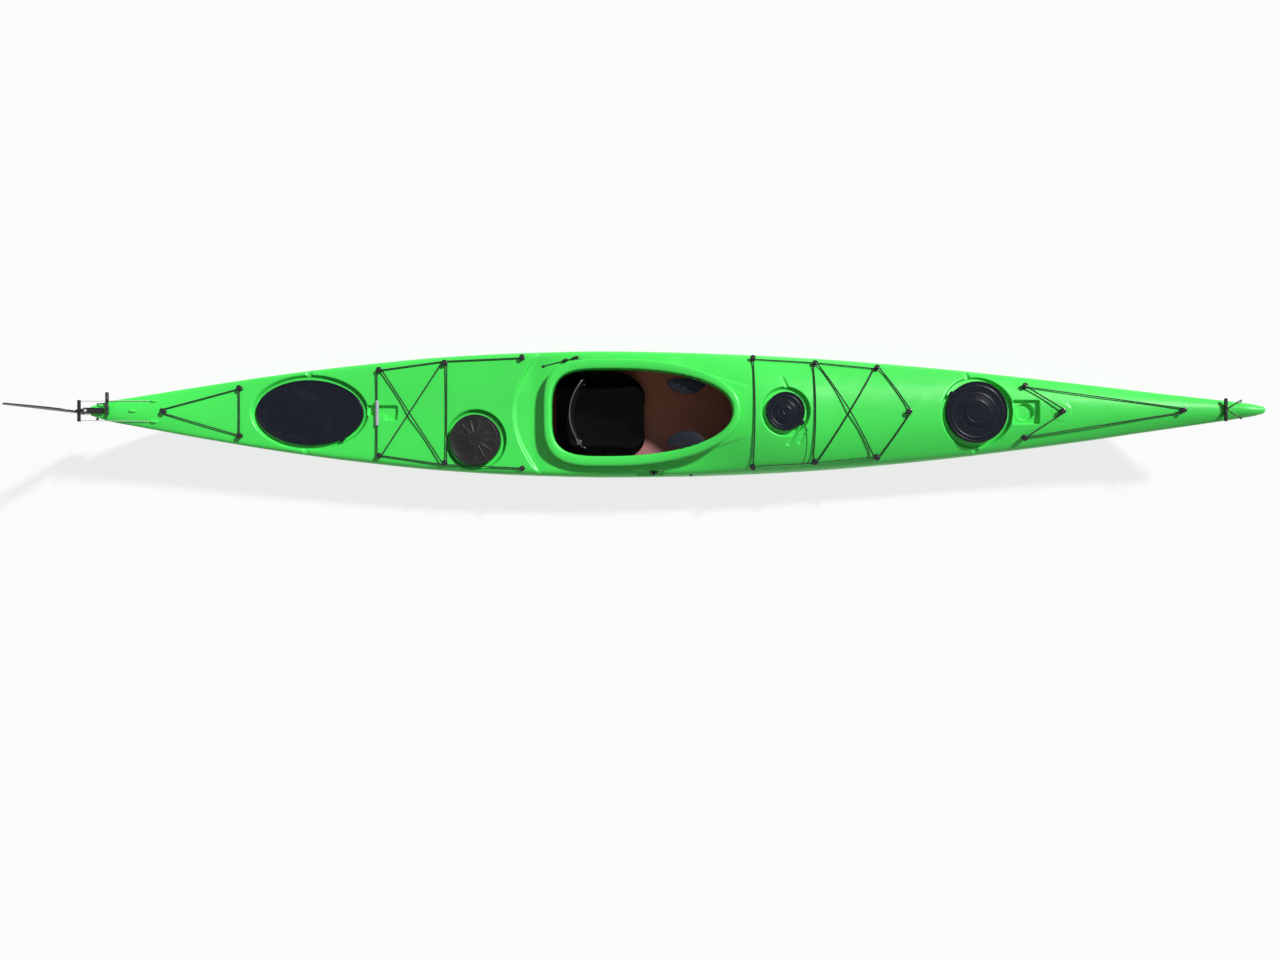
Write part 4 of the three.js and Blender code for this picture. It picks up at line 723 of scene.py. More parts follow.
def sunk(x, y):
    """How far the deck lies below its plain form: each hatch stands in an oval dish, pockets and channels
    have sloped walls, and the deck round the cockpit is dished inside an arc-shaped step."""
    sizes = bpy.context.scene.kayak_sizes
    wall, dish = sizes.recess_wall / MM, sizes.dish / MM
    drop = np.zeros(np.broadcast(x, y).shape)
    for hatch in HATCHES.values():
        half = hatch.outer + RECESS_MARGIN
        inside = (1 - hatch.level(x, y, half)) * half.min()
        drop = np.maximum(drop, RECESS * ease(inside / wall))
    for x0, y0, x1, y1, width, depth in CHANNELS:
        dx, dy = x1 - x0, y1 - y0
        t = np.clip(((x - x0) * dx + (y - y0) * dy) / (dx * dx + dy * dy), 0, 1)
        away = np.hypot(x - x0 - t * dx, y - y0 - t * dy)
        drop = np.maximum(drop, depth * ease((width - away) / CHANNEL_WALL) * (1 - 0.3 * t))
    for cx, cy, hx, hy, corner, depth in POCKETS:
        qx, qy = np.abs(x - cx) - hx + corner, np.abs(y - cy) - hy + corner
        away = np.hypot(np.maximum(qx, 0), np.maximum(qy, 0)) + np.minimum(np.maximum(qx, qy), 0) - corner
        drop = np.maximum(drop, depth * ease(-away / POCKET_WALL))
    drop = drop + CUP_DEPTH * ease((CUP_RADIUS - np.hypot(x - COMPASS_X, y)) / POCKET_WALL)
    drop = drop - DISC_HEIGHT * ease((DISC_RADIUS - np.hypot(x - DISC_X, y)) / 4)
    # The dish falls off at the step with a smooth edge, and has a deeper band just behind the coaming
    step = STEP_X + STEP_SWEEP * (y / 250) ** 2
    drop = drop + dish * ease((x - step) / 18) * (1 - ease((x - FADE_X) / 300))
    drop = drop + 0.8 * dish * ease((x - step) / 26) * np.exp(-((x - DEEPEST_X) / 52) ** 2)
    # Knees run forward from the coaming and fade into the foredeck
    knee = KNEE_HALF - KNEE_TAPER * (x - KNEE_X)
    fade = ease((x + 40) / 90) * (1 - ease((x - 230) / 150))
    drop = drop + KNEE_DEPTH * ease((np.abs(y) - knee) / 12) * fade
    u = np.clip(np.abs(y) / half_at(x), 0, 1)
    return drop * (1 - u ** 8)


def on_deck(x, y):
    """Point of the finished deck at a place, and its normal from differences over 3 mm."""
    def height(px, py):
        """Plain deck less its recesses."""
        return float(plain_deck(px, py / half_at(px)) - sunk(np.array(px), np.array(py)))

    z = height(x, y)
    normal = np.array([height(x - 3, y) - height(x + 3, y), height(x, y - 3) - height(x, y + 3), 6.0])
    return np.array([x, y, z]), unit(normal)


def deck_at(share, across):
    """Point and normal of the finished deck at a share of the length and of the half breadth."""
    x = place_of(share)
    return on_deck(x, across * float(half_at(x)))


# Cockpit outline: powers of sines and cosines, squarish behind and pointed-round in front
REAR, WIDEST, FRONT = place_of(0.387), place_of(0.4425), place_of(0.5568)
# Half breadth over the lip's outer edge, and the lip's width at the sides, in front and behind
LIP_HALF, LIP, LIP_FRONT, LIP_REAR = 243, 46, 34, 36
# Height of the lip's top: its least, its climb to the front and where that starts, and its rise at the back
# and how far forward that reaches
LIP_LOW, LIP_CLIMB, CLIMB_FROM, LIP_BACK, BACK_REACH = 264, 87, 0.21, 15, 138


def cockpit_form(ahead, inward):
    """Reach from the widest place, half breadth, and power of the outline, ahead of that place or behind it.
    inward goes from 0 at the lip's outer edge to 1 at the opening."""
    reach = np.where(ahead, FRONT - WIDEST - inward * LIP_FRONT, WIDEST - REAR - inward * LIP_REAR)
    return reach, LIP_HALF - inward * LIP, np.where(ahead, 2.2, 3.5)


def cockpit_point(angle, inward):
    """Point on the coaming: signed powers of an angle's cosine and sine, times reach and half breadth."""
    along, across = np.cos(angle), np.sin(angle)
    reach, half, power = cockpit_form(along >= 0, inward)
    return WIDEST + reach * signed_power(along, 2 / power), half * signed_power(across, 2 / power)


def cockpit_level(x, y, inward):
    """Below 1 inside the outline: the sum of both shares of its half sizes, raised to its power."""
    reach, half, power = cockpit_form(x >= WIDEST, inward)
    return (np.abs(x - WIDEST) / reach) ** power + (np.abs(y) / half) ** power


def cockpit_edge(x):
    """Half breadth of the cockpit opening at a place along it: the outline solved for y."""
    reach, half, power = cockpit_form(x >= WIDEST, 1)
    return half * np.clip(1 - (np.abs(x - WIDEST) / reach) ** power, 0, 1) ** (1 / power)


def lip_height(x):
    """Top of the coaming: it climbs with the square of the way forward, and a little at the back."""
    along = (x - REAR) / (FRONT - REAR)
    front = np.maximum(0, along - CLIMB_FROM) / (1 - CLIMB_FROM)
    rear = np.maximum(0, REAR + BACK_REACH - x) / BACK_REACH
    return LIP_LOW + LIP_CLIMB * front ** 2 + LIP_BACK * rear ** 2


# Skeg: its pin's place and height, and the ends of its slot
SKEG_SHARE = 0.1427
SKEG_X, SKEG_Z = place_of(SKEG_SHARE), float(DEPTH * KEEL(SKEG_SHARE)) + 39
SLOT = (SKEG_X - 348, SKEG_X + 32)
# Slider: its middle on the starboard shoulder, the axes out of and across its pocket, and the pocket's half
# length, half width, depth, and reach along its axis
SLIDER_X, SLIDER_TILT = place_of(0.4799), math.radians(50)
SLIDER_POINT = np.array([SLIDER_X, -0.955 * float(half_at(SLIDER_X)), float(plain_deck(SLIDER_X, 0.955))])
SLIDER_OUT = np.array([0, -math.cos(SLIDER_TILT), math.sin(SLIDER_TILT)])
SLIDER_ACROSS = np.array([0, math.sin(SLIDER_TILT), math.cos(SLIDER_TILT)])
SLIDER_POCKET = (64, 17, 12, 45)

# Where the sections' points lie: across the deck from port to starboard, then round the bilge to the keel
EDGE = np.array([0.943, 0.955, 0.965, 0.974, 0.982, 0.988, 0.993, 0.9965, 0.999, 1.0])
ACROSS = np.concatenate([EDGE[::-1], np.linspace(0.93, -0.93, 161), -EDGE])
BILGE = np.array([
    0.9995, 0.998, 0.995, 0.99, 0.98, 0.965, 0.945, 0.92, 0.89, 0.86, 0.82, 0.78, 0.74, 0.7, 0.65, 0.6, 0.55,
    0.5, 0.45, 0.4, 0.35, 0.3, 0.25, 0.2, 0.15, 0.1, 0.05, 0,
])
# Where the skin's five lengths meet, and the spacing of the sections: from, to, step
BORDERS = [-2600, -1240, -640, 340, 1190, 2600]
SPANS = [
    (-2600, -2500, 5), (-2500, -1930, 9), (-1930, -1380, 3.2), (-1380, -1240, 3), (-1240, -1050, 8),
    (-1050, -740, 3), (-740, -640, 4), (-640, -170, 5.5), (-170, -40, 3.5), (-40, 340, 7), (340, 370, 6),
    (370, 630, 3), (630, 1190, 9), (1190, 1660, 3.2), (1660, 1800, 6), (1800, 2500, 9), (2500, 2600, 5),
]


def stations():
    """Places of the hull's sections: closer together where the deck has moulded features."""
    spans = [np.arange(a, b, step) for a, b, step in SPANS]
    return np.unique(np.concatenate([*spans, np.array([*BORDERS, *SLOT], float)]))


def hull_points(x):
    """Outer skin: one closed section at each station, from the port gunwale over the deck, round the
    starboard bilge and the keel flat, and back up. The slider's pocket is pushed in along its own axis."""
    x = x[:, None]
    half = half_at(x)
    flat = keel_flat(half)
    slot = np.minimum(SLOT_HALF, flat * 0.6)
    deck_y = ACROSS[None, :] * half
    deck_z = plain_deck(x, ACROSS[None, :]) - sunk(x, deck_y)
    low_y = flat + BILGE[None, :] * (half - flat)
    low_z = plain_bottom(x, BILGE[None, :])
    keel_z = low_z[:, -1:]
    y = np.concatenate([deck_y, -low_y, -slot, slot, low_y[:, ::-1]], axis=1)
    z = np.concatenate([deck_z, low_z, keel_z, keel_z, low_z[:, ::-1]], axis=1)
    points = np.stack([x + 0 * y, y, z], -1)
    away = points - SLIDER_POINT
    out, side = away @ SLIDER_OUT, away @ SLIDER_ACROSS
    long, wide, deep, reach = SLIDER_POCKET
    mask = ease((long - np.abs(away[..., 0])) / POCKET_WALL) * ease((wide - np.abs(side)) / POCKET_WALL)
    push = mask * (np.abs(out) < reach) * np.maximum(out + deep, 0)
    return points - SLIDER_OUT * push[..., None]


def normals_of(points):
    """Unit normals of a closed-section grid, from central differences both ways."""
    return unit_rows(np.cross(np.roll(points, -1, 1) - np.roll(points, 1, 1), np.gradient(points, axis=0)))


def open_faces(points, cockpit, rim, slot):
    """Which quads stay: those outside the cockpit, the hatch mouths and the skeg's slot."""
    middle = (points[:-1] + points[1:]) / 2
    middle = (middle + np.roll(middle, -1, 1)) / 2
    x, y, z = middle[..., 0], middle[..., 1], middle[..., 2]
    deck = z > 0.45 * DEPTH
    gone = deck & (cockpit_level(x, y, cockpit) < 1)
    for hatch in HATCHES.values():
        gone |= deck & (hatch.level(x, y, hatch.oval(rim)) < 1)
    gone |= ~deck & (x > SLOT[0]) & (x < SLOT[1]) & (np.abs(y) < slot)
    return ~gone


class KAYAK_OT_hull(bpy.types.Operator):
    """Moulded outer skin of the hull, in five lengths, with its ends"""
    bl_idname = "kayak.hull"
    bl_label = "Hull skin"

    def execute(self, context):
        x = stations()
        points = hull_points(x)
        normals = normals_of(points)
        keep = open_faces(points, 1 - 3 / LIP, (RIM_OUTER + RIM_INNER) / 2, SLOT_HALF)
        for name, first, last in zip(("stern", "day", "cockpit", "fore", "bow"), BORDERS, BORDERS[1:]):
            a, b = np.searchsorted(x, [first, last])
            verts, quads, uv = sheet(points[a:b + 1], wrap_cols=True, keep=keep[a:b])
            used, inverse = np.unique(quads, return_inverse=True)
            part = verts[used], inverse.reshape(-1, 4), uv
            facing = normals[a:b + 1].reshape(-1, 3)[used]
            hull_piece(f"hull_skin_{name}", [part], weld=False, normals=facing)
        # Each end closes in rows that shrink to the middle of its last section
        sheets = []
        turn = np.linspace(0, np.pi / 2, 9)[:, None, None]
        for ring, reach, flip in ((points[0], -0.8, True), (points[-1], 14, False)):
            middle = ring.mean(0)
            rows = middle + (ring - middle) * np.cos(turn) + np.sin(turn) * np.array([reach, 0, 0])
            sheets.append(sheet(rows[::-1] if flip else rows, wrap_cols=True))
        hull_piece("hull_ends", sheets)
        return {"FINISHED"}


class KAYAK_OT_lining(bpy.types.Operator):
    """Inner face of the moulding and the skeg's box"""
    bl_idname = "kayak.lining"
    bl_label = "Hull lining"

    def execute(self, context):
        x = np.arange(-2525, 2441, 10.0)[:, None]
        half = half_at(x) - WALL
        flat = keel_flat(half)
        u = np.concatenate([[1, 0.997, 0.99, 0.975, 0.955], np.linspace(0.93, -0.93, 61),
                            [-0.955, -0.975, -0.99, -0.997, -1]])[None, :]
        v = BILGE[None, ::2]
        # Round the cockpit the lining follows the dished deck, and elsewhere it clears the recesses
        aft, fore = -668, 300
        near = ease((x - aft) / 20) * (1 - ease((x - fore) / 40))
        deck_y = u * half
        drop = (sunk(x, deck_y) + 6) * near + 30 * (1 - near) * (1 - np.abs(u) ** 8)
        deck_z = plain_deck(x, u) - WALL * np.sqrt(1 - np.abs(u) ** 24) - drop
        low_y = flat + v * (half - flat)
        low_z = plain_bottom(x, v) + WALL * np.sqrt(1 - v ** 3)
        y = np.concatenate([deck_y, -low_y, low_y[:, ::-1]], axis=1)
        z = np.concatenate([deck_z, low_z, low_z[:, ::-1]], axis=1)
        points = np.stack([x + 0 * y, y, z], -1)
        keep = open_faces(points, 0.75, 2, 0)
        points = points[:, ::-1]
        inner = sheet(points, wrap_cols=True, keep=keep[:, ::-1][:, np.r_[1:keep.shape[1], 0]])
        hull_piece("hull_lining", [inner], "inside", weld=False)
        # Box: a rounded outline carried up the outside, over the top and down the inside
        angle = circle(48)[:, None]
        square, thin = (signed_power(v, 0.25) for v in (np.cos(angle), np.sin(angle)))
        roof = SKEG_Z + 102
        outside = rounded([[WALL, 0], [WALL, roof + WALL], [-6.9, roof + WALL]], 3)
        shape = np.concatenate([outside, rounded([[-6.9, roof], [0, roof], [0, 0]], 3)])
        low = float(plain_bottom(SLOT[0], 0)) + 0.6
        z = np.maximum(shape[:, 1], low)[None, :]
        box = np.stack([
            (SLOT[0] + SLOT[1]) / 2 + square * (190 + shape[:, 0]),
            thin * np.maximum(SLOT_HALF + shape[:, 0], 0.05),
            z + 0 * square,
        ], -1)
        hull_piece("skeg_box", [sheet(box, wrap_rows=True)])
        return {"FINISHED"}


class KAYAK_OT_coaming(bpy.types.Operator):
    """Rolled cockpit rim that a spray deck grips, with its inner wall"""
    bl_idname = "kayak.coaming"
    bl_label = "Coaming"

    def execute(self, context):
        # The profile is drawn as (mm in from the edge, mm above the lip's top), then its part below the fold
        # is stretched down to the deck
        fold, tail = -22, 38
        outline = rounded([
            [0, -9], [1.5, -3], [9, 0.3], [22, 1.2], [35, 0.2], [43, -2.5], [46, -9], [46, -60],
            [40, -60], [40, -22], [34, -17.5], [12, -16.5], [4, -19], [0.5, -15],
        ], 6, 4, closed=True)
        across, up = outline.T
        angle = circle(320)[:, None]
        x, y = cockpit_point(angle, across[None, :] / LIP)
        wall_x, wall_y = cockpit_point(angle, 1)
        top = lip_height(wall_x)
        foot = plain_deck(wall_x, wall_y / half_at(wall_x)) - 17
        down = np.clip((fold - up[None, :]) / tail, 0, 1)
        z = top + np.maximum(up[None, :], fold) + (foot - (top + fold)) * down
        hull_piece("coaming_rim", [sheet(np.stack([x, y, z], -1), wrap_rows=True, wrap_cols=True)])
        return {"FINISHED"}


class KAYAK_OT_rims(bpy.types.Operator):
    """Raised rims that the hatch covers snap over"""
    bl_idname = "kayak.rims"
    bl_label = "Hatch rims"

    def execute(self, context):
        for name, hatch in HATCHES.items():
            b = hatch.outer[1]
            low = -hatch.stand - 4
            outline = rounded([
                [1 - RIM_OUTER / b, low], [1 - RIM_OUTER / b, -1.2], [1 - (RIM_OUTER + 1.2) / b, 0],
                [1 - (RIM_INNER - 1.2) / b, 0], [1 - RIM_INNER / b, -1.2], [1 - RIM_INNER / b, low - 14],
                [1 - (RIM_INNER - 4) / b, low - 14], [1 - (RIM_INNER - 4) / b, low],
            ], 1.2 / b, 3, closed=True)
            place, tilt = (hatch.x, hatch.y, hatch.top), about_y(hatch.pitch)
            # The second sheet joins the outline's last point to its first
            sheets = [turned(rows, 128, hatch.outer, place, tilt) for rows in (outline, outline[[-1, 0]])]
            hull_piece(f"{name}_hatch_rim", sheets)
        return {"FINISHED"}


def cover_profile(hatch, rings, ridge):
    """Half section of a cover as (share of its radius, height): skirt, rolled rim, moat and a panel domed by
    a smooth step, with a ridge at each of the rings, which falls off as a bell curve."""
    b = hatch.outer[1]
    inner = 1 - 5 / b
    top = 6 + CLEAR
    skirt = 3 - hatch.stand
    edge = rounded([
        [0, CLEAR], [inner - 0.02, CLEAR], [inner, CLEAR - 0.6], [inner, skirt], [1, skirt], [1, top - 3],
        [1 - 2 / b, top], [1 - 7 / b, top], [1 - 9.5 / b, top - 2.7],
    ], 1.6 / b + 0.004, 3)
    r = np.linspace(1 - 11 / b, 0, 60)
    dome = top - 2.7 + (2.7 + hatch.dome) * ease((0.72 - r) / 0.5)
    for place, width in rings:
        dome = dome + ridge * np.exp(-((r - place) / width) ** 2)
    return np.concatenate([edge, np.stack([r, dome], -1)])


class KAYAK_OT_covers(bpy.types.Operator):
    """Rubber hatch covers with their moulded rings, ribs and pull tabs"""
    bl_idname = "kayak.covers"
    bl_label = "Hatch covers"

    def execute(self, context):
        ridge = context.scene.kayak_sizes.ridge / MM
        # Rings as (share of the radius, width), angles of the pull tabs, and finish
        plans = {
            "stern": (((0.87, 0.018), (0.6, 0.02), (0.56, 0.012)), (-0.93,), "cover"),
            "day": (((0.86, 0.02),), (), "day_cover"),
            "fore": (((0.78, 0.03), (0.45, 0.035), (0.2, 0.05)), (-0.62,), "cover"),
            "bow": (((0.84, 0.02), (0.36, 0.02), (0.6, 0.012)), (2.53,), "cover"),
        }
        for name, (rings, tabs, finish) in plans.items():
            hatch = HATCHES[name]
            tilt = about_y(hatch.pitch)
            place = np.array([hatch.x, hatch.y, hatch.top])
            profile = cover_profile(hatch, rings, ridge)
            sides = 384 if name == "day" else 160
            r, height = profile.T
            angle = circle(sides)[:, None]
            z = height + 0 * angle
            if name == "day":
                # Ribs fan out from the hub, each about 6 mm wide, and fade in and out with the radius. Only
                # rows past the rolled edge carry them
                ribs, panel = 13, np.arange(len(r)) > 30
                turn = (angle * ribs / (2 * np.pi) + 0.25 + 0.5) % 1 - 0.5
                away = turn / ribs * 2 * np.pi * r * hatch.outer[1]
                fan = ease((r - 0.24) / 0.08) * (1 - ease((r - 0.74) / 0.08)) * panel
                z = z + 2.6 * fan * np.exp(-(away / 3.2) ** 2)
                z = z + 1.4 * np.exp(-((r - 0.22) / 0.03) ** 2) * panel
            local = np.stack([r * np.cos(angle) * hatch.outer[0], r * np.sin(angle) * hatch.outer[1], z], -1)
            sheets = [sheet(placed(local, place, tilt), wrap_rows=True)]
            for at in tabs:
                c, s = math.cos(at), math.sin(at)
                spot = np.array([c * (hatch.outer[0] + 1), s * (hatch.outer[1] + 1), 1.2])
                way = math.atan2(s / hatch.outer[1], c / hatch.outer[0])
                sheets.append(pillow(tilt @ spot + place, (11, 13, 2.2), 0.4, tilt @ about_z(way)))
            piece(f"{name}_cover_rubber", sheets, finish, f"{name}_cover", (f"{name}_hatch_cover",))
        return {"FINISHED"}


class KAYAK_OT_pod(bpy.types.Operator):
    """Cloth cup that hangs under the small hatch"""
    bl_idname = "kayak.pod"
    bl_label = "Hanging pod"

    def execute(self, context):
        hatch = HATCHES["fore"]
        depth, waist = 190, 148
        bottom = hatch.top - RECESS - depth
        low, high = (corner[2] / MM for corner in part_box("fore_hatch_pod"))
        shape = rounded([[0, 0], [52, 0], [60, 5], [77, waist], [82.5, 154], [82.5, high - bottom - 1],
                         [75, high - bottom - 1], [75, 152], [57, 8], [50, 4], [0, 4]], 6, 4)
        # Shallow gathers in the cloth: a small cosine wave round it, strongest halfway up
        r, z = shape.T
        angle = circle(96)[:, None]
        pull = 1.2 * np.cos(angle * 9) * np.sin(np.clip(z / waist, 0, 1) * np.pi)
        radius = np.maximum(r + pull * (r > 20), 0)
        points = np.stack([hatch.x + radius * np.cos(angle), hatch.y + radius * np.sin(angle),
                           np.maximum(z + bottom, low) + 0 * angle], -1)
        piece("pod_cloth", [sheet(points, wrap_rows=True)], "cloth", replaced=("fore_hatch_pod",))
        return {"FINISHED"}


# Seat: its ends, its half breadth and the radius of its front corners. Backrest: the band's middle, how far
# its ends come forward of it, and the height of the pins that they turn on
SEAT_REAR, SEAT_FRONT, SEAT_HALF, SEAT_CORNER = place_of(0.3955), place_of(0.4745), 186, 92
BACK_X, BACK_SAG, BACK_PIN = place_of(0.4092), 58, 100


def seat_points(along, across):
    """Seat pan: the middle rises to the back with (1 - a)^4, and the sides climb with |c|^6 to the coaming,
    lower towards the front. The plan's front corners are rounded."""
    out = np.abs(across) ** 0.6
    x = SEAT_REAR + (SEAT_FRONT - SEAT_REAR) * along
    # Corners: points near a front corner draw back along a circle
    past = np.maximum(x - SEAT_FRONT + SEAT_CORNER, 0)
    half = SEAT_HALF - (SEAT_CORNER - np.sqrt(np.clip(SEAT_CORNER ** 2 - past ** 2, 0, None)))
    y = np.sign(across) * out * np.clip(half, 90, None)
    foot = plain_deck(x, SEAT_HALF / half_at(x)) - 14 - CLEAR
    low, rise_back, rise_front, front_edge, slope_from = 34, 34, 10, 58, 0.62
    middle = low + rise_back * (1 - along) ** 4 + rise_front * along ** 2
    high = foot - (foot - front_edge) * ease((along - slope_from) / 0.38)
    z = middle + (high - middle) * out ** 10
    return np.stack([x + 0 * y, y, z], -1)


class KAYAK_OT_seat(bpy.types.Operator):
    """Bucket seat in formed gloss plastic, with the backrest's pins"""
    bl_idname = "kayak.seat"
    bl_label = "Seat"

    def execute(self, context):
        along = np.concatenate([np.linspace(0, 0.9, 46), np.linspace(0.915, 1, 12)])[:, None]
        across = signed_power(np.linspace(1, -1, 97), 0.9)
        upper = seat_points(along, across[None, :])
        # The underside lies one wall thickness square to the upper face, and both close in a rounded lip
        facing = unit_rows(np.cross(np.gradient(upper, axis=1), np.gradient(upper, axis=0)))
        wall = 4.5
        lower = upper - facing * wall * np.sign(facing[30, 48, 2])
        sheets = [sheet(np.concatenate([upper, lower[:, ::-1]], axis=1), wrap_cols=True)]
        sheets += [sheet(np.stack([upper[end], lower[end]])) for end in (0, -1)]
        # Ears for the backrest, with its pins' heads
        pin = rounded([[0, -2], [6.5, -2], [6.5, 2], [0, 3.4]], 1.2, 3)
        for side in (1, -1):
            y = side * (158 + CLEAR + 3)
            sheets.append(pillow((BACK_X + BACK_SAG, y, 84), (13, 3, 30)))
            place = (BACK_X + BACK_SAG, y + side * 2.6, BACK_PIN)
            sheets.append(turned(pin, 24, place=place, tilt=onto_side(side)))
        # Block under the pan, on the keel
        low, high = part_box("seat_pan")[0][2] / MM, 36
        x = (SEAT_REAR + SEAT_FRONT) / 2
        sheets.append(pillow((x, 0, (low + high) / 2), (150, 36, (high - low) / 2 + 2), 0.18))
        piece("seat_shell", sheets, "seat", replaced=("seat_pan",))
        return {"FINISHED"}


def onto_side(side):
    """Rotation that takes Z to port or starboard."""
    return np.array([[1, 0, 0], [0, 0, side], [0, -side, 0]])


class KAYAK_OT_backrest(bpy.types.Operator):
    """Backrest band, bent round the paddler's back, with its strap and buckle"""
    bl_idname = "kayak.backrest"
    bl_label = "Backrest"

    def execute(self, context):
        # A rounded upright section is carried along x = sag * c^2, and is lower towards its ends
        c = np.linspace(-1, 1, 97)[:, None]
        section = rounded([[-9, 0.02], [-10.5, 0.45], [-8.5, 0.9], [-3, 1], [3, 1], [9, 0.9], [10.5, 0.45],
                           [9, 0.02], [4, 0], [-4, 0]], 3, 3, closed=True)
        deep, tall = section[None, :, 0], section[None, :, 1]
        low, high = 90, 234 - 26 * np.abs(c) ** 3
        z = low + (high - low) * tall
        # Two padded channels run across the band's front
        x = BACK_X + BACK_SAG * c ** 2 + deep + 1.6 * np.cos(tall * 3 * np.pi) * (deep > 6) * (1 - c ** 4)
        band = np.stack([x, c * 157.5 + 0 * x, z], -1)
        sheets = [sheet(band, wrap_cols=True)]
        for end in (0, -1):
            middle = band[end].mean(0)
            rows = middle + (band[end] - middle) * np.array([1, 0.5, 0])[:, None, None]
            sheets.append(sheet(rows, wrap_cols=True))
        boss = rounded([[0, -7], [11, -7], [11, 7], [0, 7]], 2, 3)
        for side in (1, -1):
            place = (BACK_X + BACK_SAG, side * 150.6, BACK_PIN)
            sheets.append(turned(boss, 32, place=place, tilt=onto_side(side)))
        # Adjusting strap and its buckle on the starboard side
        strap = smooth_path([[BACK_X + 30, -120, 226], [BACK_X + 44, -136, 214], [BACK_X + 62, -148, 180]], 8)
        sheets.append(tube(strap, 4.5, 12))
        sheets.append(pillow((BACK_X + 44, -132, 222), (9, 12, 4), tilt=about_z(-0.5)))
        piece("backrest_band", sheets, "back", "backrest", ("backrest",))
        return {"FINISHED"}


class KAYAK_OT_braces(bpy.types.Operator):
    """Thigh braces: padded half ovals under the coaming, with three lugs on its edge"""
    bl_idname = "kayak.braces"
    bl_label = "Thigh braces"

    def execute(self, context):
        for name, side in (("left", 1), ("right", -1)):
            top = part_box(f"thigh_brace_{name}")[1][2] / MM
            x0 = place_of(0.512)
            edge = float(cockpit_edge(x0))
            # Half-oval plan: the chord follows the coaming's wall and the bulge reaches inboard
            t = np.linspace(0, np.pi, 49)[:, None]
            s = np.linspace(0, 1, 15)[None, :]
            px = x0 + 90 * np.cos(t) * s ** 0.9
            bulge = 74 * np.sin(t) ** 0.9 * s
            wall = cockpit_edge(px)
            py = np.minimum(wall, edge + 12) - 1.5 - np.maximum(bulge - (edge - wall), 0)
            high = top - 1 - 5 * s ** 4
            crown = 7.5 * (1 - s ** 5) + 1.2
            upper = np.stack([px, side * py, high + 0 * t], -1)
            lower = np.stack([px, side * py, high - crown * 0.9 + 0 * t], -1)
            sheets = [sheet(np.concatenate([upper, lower[:, ::-1]], axis=1), wrap_cols=True)]
            for shift in (-34, 0, 34):
                x = x0 + 12 + shift
                y = side * (float(cockpit_edge(x)) - 1)
                sheets.append(pillow((x, y, float(lip_height(x)) - 8), (4.5, 3, 7.5)))
            piece(f"thigh_brace_pad_{name}", sheets, "pad", replaced=(f"thigh_brace_{name}",))
        return {"FINISHED"}


def under_deck(mesh):
    """Holds a bulkhead's points a little below the dished deck, which the mesh's top edge would cut."""
    p = np.empty(len(mesh.vertices) * 3)
    mesh.vertices.foreach_get("co", p)
    p = p.reshape(-1, 3)
    x, y = p[:, 0] / MM, p[:, 1] / MM
    top = plain_deck(x, y / half_at(x)) - sunk(x, y) - 9
    p[:, 2] = np.minimum(p[:, 2], top * MM)
    mesh.vertices.foreach_set("co", p.ravel())
    mesh.update()


class KAYAK_OT_small_parts(bpy.types.Operator):
    """Moulded and cut parts that keep their CAD shape, with rounded edges: rests, skeg, rudder"""
    bl_idname = "kayak.small_parts"
    bl_label = "Fittings"

    def execute(self, context):
        edge = context.scene.kayak_sizes.edge
        # CAD node, body, finish, and its edges' rounding over the panel's
        plan = [
            ("foot_rail_left", "hull_body", "aluminium", 0.8),
            ("foot_rail_right", "hull_body", "aluminium", 0.8),
            ("foot_pedal_left", "pedal_left", "fitting", 1.5),
            ("foot_pedal_right", "pedal_right", "fitting", 1.5),
            ("skeg_blade", "skeg", "blade", 1.6), ("skeg_pin", "hull_body", "steel", 0.5),
            ("skeg_slider", "slider", "fitting", 1.0), ("rudder_mount", "hull_body", "fitting", 1.2),
            ("rudder_pin", "hull_body", "steel", 0.6), ("rudder_head", "rudder_head", "fitting", 0.8),
            ("rudder_blade", "rudder_blade", "blade", 1.2),
            ("rudder_blade_bolt", "rudder_head", "steel", 0.6),
            ("bulkhead_stern", "hull_body", "foam", 1.0), ("bulkhead_aft", "hull_body", "foam", 1.0),
            ("bulkhead_fore", "hull_body", "foam", 1.0),
        ]
        for node, body, finish, times in plan:
            made = softened(f"{node}_finished", node, finish, body, edge * times)
            if node == "bulkhead_aft":
                under_deck(made.data)
        return {"FINISHED"}


# Studs: place along the boat and share of the half breadth. Those off the middle line come in pairs
STUDS = {
    name + suffix: (share, sign * across)
    for name, share, across in (
        ("stern_fairlead_centre", 0.061, 0), ("stern_fairlead", 0.124, 0.715),
        ("aft_fairlead_rear", 0.2436, 0.828), ("aft_fairlead_mid", 0.3004, 0.864),
        ("aft_fairlead_front", 0.368, 0.89), ("fore_fairlead_rear", 0.5693, 0.874),
        ("fore_fairlead_mid", 0.6233, 0.836), ("fore_fairlead_front", 0.6775, 0.83),
        ("fore_fairlead_centre", 0.7027, 0), ("bow_fairlead", 0.804, 0.676),
        ("bow_fairlead_rear", 0.834, 0), ("bow_fairlead_front", 0.934, 0),
    )
    for suffix, sign in ((("_left", 1), ("_right", -1)) if across else (("", 1),))
}
